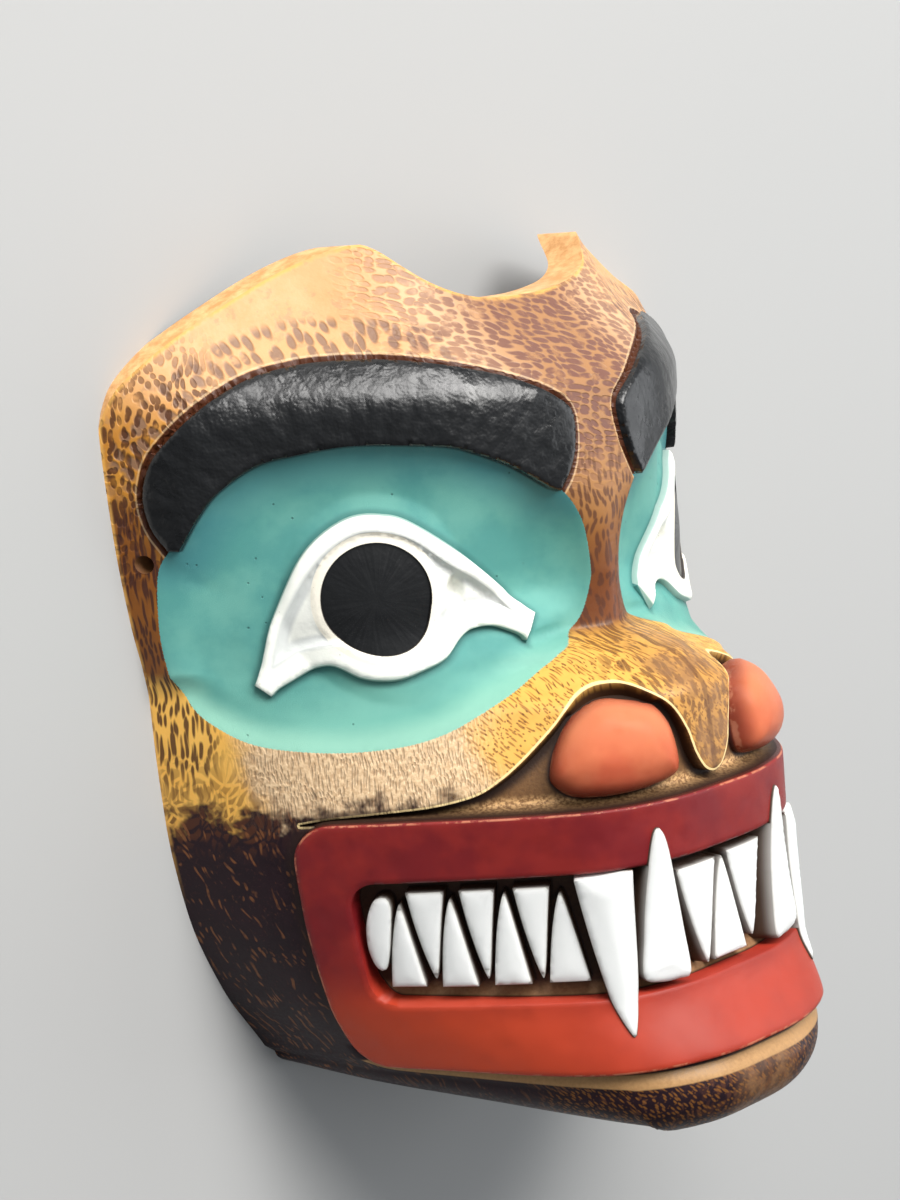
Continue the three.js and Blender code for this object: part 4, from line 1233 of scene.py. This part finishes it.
def carved_paint():
    """Brown stain over golden yellow, with rows of small dark tool marks that differ from place to place."""
    paint = Paint("carved_brown", roughness=0.42, specular=0.32)
    girth = paint.math("ABSOLUTE", paint.attribute("girth"))
    height = paint.attribute("height")
    wander = paint.noise(0.12, 2)
    sway = paint.times(paint.math("SUBTRACT", wander, 0.5), 10.0)
    h = paint.plus(height, sway)
    s = paint.plus(girth, sway)
    smudge = paint.noise(0.22, 3, 0.6)
    grain = paint.noise(1.6, 2, 0.6)
    lower_face = paint.between(height, 12, 9)
    snout_part = paint.times(lower_face, paint.between(s, 84, 78))
    cheek = paint.times(paint.between(s, 32, 42), paint.between(s, 80, 70))
    ragged = paint.times(paint.math("SUBTRACT", smudge, 0.5), 20.0)
    jaw = paint.between(paint.plus(height, ragged), -10, -15)
    face = SimpleNamespace(
        girth=girth, height=height, h=h, s=s, smudge=smudge, grain=grain,
        lower_face=lower_face, snout_part=snout_part, cheek=cheek, jaw=jaw,
    )
    base = ground_tones(paint, face)
    base, brow_dents = brow_marks(paint, face, base)
    base, hair = cheek_marks(paint, face, base)
    base = edge_lines_and_painted_light(paint, face, jaw_marks(paint, face, base))
    low = paint.plus(brow_dents, hair)
    relief = paint.math("SUBTRACT", paint.times(grain, 0.25), low)
    shine = paint.between(grain, 0.3, 0.7, 0.36, 0.52)
    return paint.finish(base, relief, 0.11, shine)


def recess_paint():
    """The sunk band round the nostrils: dark by the nose, with painted shade near its edge under the nose,
    tan on the ledge over the lip.
    """
    paint = Paint("recess_brown", roughness=0.55, specular=0.3)
    grain = paint.noise(1.8, 4, 0.65)
    tan = paint.blend(paint.between(grain, 0.38, 0.62), (132, 96, 60), (216, 172, 118))
    shade = paint.blend(grain, (76, 50, 32), (136, 98, 58))
    lips = paint.attribute("lips")
    colour = paint.blend(paint.between(lips, -3.4, -1.6), shade, tan)
    nostril = paint.attribute("nostril")
    colour = paint.over(colour, (52, 30, 18), paint.between(nostril, -0.9, -0.1))
    # Painted shade: darker near the recess's edge, in the shade under the nose's edge
    colour = paint.over(colour, (48, 30, 20), paint.between(paint.attribute("recess"), 2.2, 0.5))
    colour = paint.over(colour, (48, 24, 18), paint.between(lips, -0.3, -0.05))
    return paint.finish(colour, grain, 0.08)


def red_paint(name, first, second, outline, painted_light, top, facet, rim, shine):
    """Red enamel in two tones, finely mottled, with painted light that makes it lighter where light falls on
    it, a dark foot and worn light edges.
    """
    paint = Paint(name, roughness=0.4, specular=0.28, coat=0.08, coat_roughness=0.25)
    broad = paint.noise(0.1, 3, 0.6)
    mottled = paint.mottle(0.7, 3, 0.6, (0.35, 1.4, 1))
    colour = paint.blend(paint.between(broad, 0.35, 0.65), first, second)
    # Painted light: the lit tone (top) is laid over the parts where the light falls
    colour = paint.over(colour, top, painted_light(paint), 0.9)
    colour = paint.over(colour, (110, 30, 24), paint.between(mottled, 0.52, 0.72), 0.22)
    edge = paint.attribute(outline)
    colour = paint.over(colour, (128, 34, 20), paint.between(edge, 2.6, 0.1), rim)
    worn = paint.between(paint.noise(0.3, 4, 0.7), 0.46, 0.56)
    colour = paint.over(colour, (206, 132, 98), paint.band(edge, 0.18, 0.34, 0.14), worn, 0.6)
    colour = paint.over(colour, (70, 26, 18), paint.between(edge, 0.14, 0.0))
    dull = paint.between(mottled, 0.3, 0.7, shine, shine + 0.14)
    facets = paint.cells(0.24, feature="SMOOTH_F1")
    height = paint.plus(paint.times(facets, 0.8), paint.times(mottled, 0.12))
    return paint.finish(colour, height, facet, dull)


def lip_painted_light(paint):
    """Painted light: the lower lip and the front of the lips are lighter, where more light falls on them."""
    girth = paint.math("ABSOLUTE", paint.attribute("girth"))
    low = paint.between(paint.attribute("height"), -38, -50)
    return paint.plus(paint.times(low, paint.between(girth, 56, 8, 0.86, 0.38)), 0.03)


# Painted light: the nostrils are lighter towards their tops, where the light falls on them
def nostril_painted_light(paint):
    return paint.between(paint.attribute("height"), -10, -1)


def socket_paint():
    """Sea green, with painted shade that makes it darker and bluer under the brow and a dark painted shadow
    line along the brow's foot, paler along the lower rim, finely mottled and pitted.
    """
    paint = Paint("socket_green", roughness=0.46, specular=0.4)
    broad = paint.noise(0.09, 4, 0.55)
    mottled = paint.mottle(0.55, 4, 0.6, (1.3, 0.4, 1), 0.5)
    colour = paint.blend(paint.between(broad, 0.35, 0.65), (84, 156, 146), (112, 180, 164))
    height = paint.attribute("height")
    # Painted shade: darker and bluer under the overhanging brow
    shade_under_brow = paint.between(paint.attribute("brow"), -12, -1)
    colour = paint.over(colour, (56, 122, 134), shade_under_brow, 0.7)
    low = paint.between(height, 14, 0)
    colour = paint.over(colour, (98, 160, 142), low, 0.6)
    rim = paint.times(paint.between(paint.attribute("socket"), 5, 1), paint.between(height, 16, 4))
    patchy = paint.between(mottled, 0.38, 0.6)
    colour = paint.over(colour, (158, 212, 188), rim, patchy)
    colour = paint.over(colour, (120, 186, 168), paint.between(mottled, 0.5, 0.7), 0.3)
    pits = paint.between(paint.cells(0.32), 0.075, 0.045)
    colour = paint.over(colour, (30, 78, 78), pits, 0.6)
    eye = paint.attribute("eye")
    colour = paint.over(colour, (38, 92, 92), paint.between(eye, -1.4, -0.1), 0.55)
    # Painted shadow: a dark line right under the brow's edge
    colour = paint.over(colour, (20, 40, 46), paint.between(paint.attribute("brow"), -0.5, -0.05), 0.8)
    bump = paint.math("SUBTRACT", paint.times(mottled, 0.5), pits)
    return paint.finish(colour, bump, 0.12, paint.between(mottled, 0.3, 0.7, 0.38, 0.52))


def black_paint(name, roughness, streak, bump):
    paint = Paint(name, roughness=roughness, specular=0.5, coat=0.3, coat_roughness=0.2)
    brushed = paint.noise(1.0, 3, 0.6, place=paint.rays((2.6, 9.0)))
    lumps = paint.noise(0.26, 3, 0.55)
    colour = paint.blend(paint.between(brushed, 0.4, 0.7), (0, 0, 1), (3, 4, 6))
    height = paint.plus(paint.times(brushed, streak), lumps)
    return paint.finish(colour, height, bump, paint.between(brushed, 0.3, 0.7, roughness, roughness + 0.16))


def eye_paint():
    """Warm white, with painted shade in the groove round the eyeball, and a few brown specks."""
    paint = Paint("eye_white", roughness=0.4, specular=0.4)
    mottled = paint.noise(0.8, 4, 0.6)
    colour = paint.blend(mottled, (244, 246, 236), (254, 255, 246))
    opening = paint.attribute("opening")
    # Painted shade: grey in the groove round the eyeball
    groove = paint.times(paint.band(opening, 0.1, 1.3, 0.9), 0.5)
    colour = paint.over(colour, (150, 156, 164), groove)
    inner = paint.between(opening, 0.6, 3.5)
    colour = paint.over(colour, (206, 204, 200), inner, 0.3)
    ring = paint.band(paint.attribute("pupil"), -1.7, -0.15, 0.2)
    colour = paint.over(colour, (246, 240, 224), ring)
    colour = paint.over(colour, (60, 54, 50), paint.between(paint.attribute("pupil"), -0.16, -0.02))
    colour = paint.over(colour, (150, 176, 168), paint.between(paint.attribute("eye"), 0.22, 0.02))
    specks = paint.between(paint.cells(0.5), 0.06, 0.04)
    colour = paint.over(colour, (150, 130, 104), specks, 0.5)
    return paint.finish(colour, mottled, 0.06)


def mouth_paint():
    """The floor of the mouth: dark brown, tan on the narrow ledge along the lower lip."""
    paint = Paint("mouth_brown", roughness=0.55, specular=0.3)
    grain = paint.noise(1.6, 4, 0.6)
    colour = paint.blend(grain, (44, 26, 18), (84, 54, 34))
    low = paint.between(paint.attribute("height"), -42.6, -44.2)
    colour = paint.over(colour, paint.blend(grain, (112, 78, 50), (170, 130, 92)), low)
    colour = paint.over(colour, (52, 24, 18), paint.between(paint.attribute("mouth"), 0.4, 0.05))
    colour = paint.over(colour, (30, 18, 14), paint.between(paint.attribute("tooth"), -0.45, -0.1), 0.8)
    return paint.finish(colour, grain, 0.08)


def tooth_paint():
    """White teeth, finely mottled, greyed with painted shade where they round off, and dark brown along their
    edges.
    """
    paint = Paint("tooth_white", roughness=0.38, specular=0.45)
    mottled = paint.mottle(0.7, 4, 0.6, (1.4, 0.5, 1))
    colour = paint.blend(mottled, (240, 243, 242), (255, 255, 252))
    edge = paint.math("MAXIMUM", paint.attribute("tooth"), paint.attribute("fang"))
    # Painted shade: grey where the teeth round off towards their edges
    colour = paint.over(colour, (190, 184, 170), paint.between(edge, 0.45, 0.1), 0.35)
    colour = paint.over(colour, (70, 48, 32), paint.between(edge, 0.12, 0.0))
    return paint.finish(colour, mottled, 0.1)


def plain_paint(name, first, second, scale, roughness=0.5):
    """One tone that drifts into another, for the sides that the face hides."""
    paint = Paint(name, roughness=roughness, specular=0.35)
    broad = paint.noise(scale, 5, 0.65)
    fine = paint.noise(1.5, 3, 0.6)
    colour = paint.blend(paint.between(broad, 0.35, 0.65), first, second)
    return paint.finish(colour, fine, 0.08)


PAINTS = {
    "carved": carved_paint(),
    "recess": recess_paint(),
    # Each red gets two enamel tones, its outline, its painted light and its painted lit tone
    "nostril": red_paint(
        "nostril_red", (206, 90, 56), (222, 116, 76), "nostril", nostril_painted_light, (234, 136, 92),
        facet=1.0, rim=0.8, shine=0.24,
    ),
    "socket": socket_paint(),
    "brow": black_paint("brow_black", roughness=0.24, streak=0.16, bump=0.62),
    "eye": eye_paint(),
    "pupil": black_paint("pupil_black", roughness=0.3, streak=0.0, bump=0.2),
    "lips": red_paint(
        "lip_red", (112, 20, 28), (134, 32, 30), "lips", lip_painted_light, (212, 76, 38),
        facet=0.3, rim=0.0, shine=0.32,
    ),
    "mouth": mouth_paint(),
    "tooth": tooth_paint(),
    "under": plain_paint("under_brown", (30, 17, 22), (62, 38, 34), scale=0.5),
    "edge": plain_paint("edge_yellow", (232, 182, 124), (204, 146, 88), scale=0.35, roughness=0.42),
    "back": plain_paint("back_brown", (126, 84, 44), (96, 62, 36), scale=0.05, roughness=0.6),
}
for zone_name in ZONES:
    mask.data.materials.append(PAINTS[zone_name])
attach(mask, "root")
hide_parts("bear_mask")

add_floor()
add_camera()
for lamp_name, lamp_settings in LAMPS.items():
    add_lamp(lamp_name, *lamp_settings)
add_sky()
bpy.context.scene.view_settings.view_transform = "Standard"
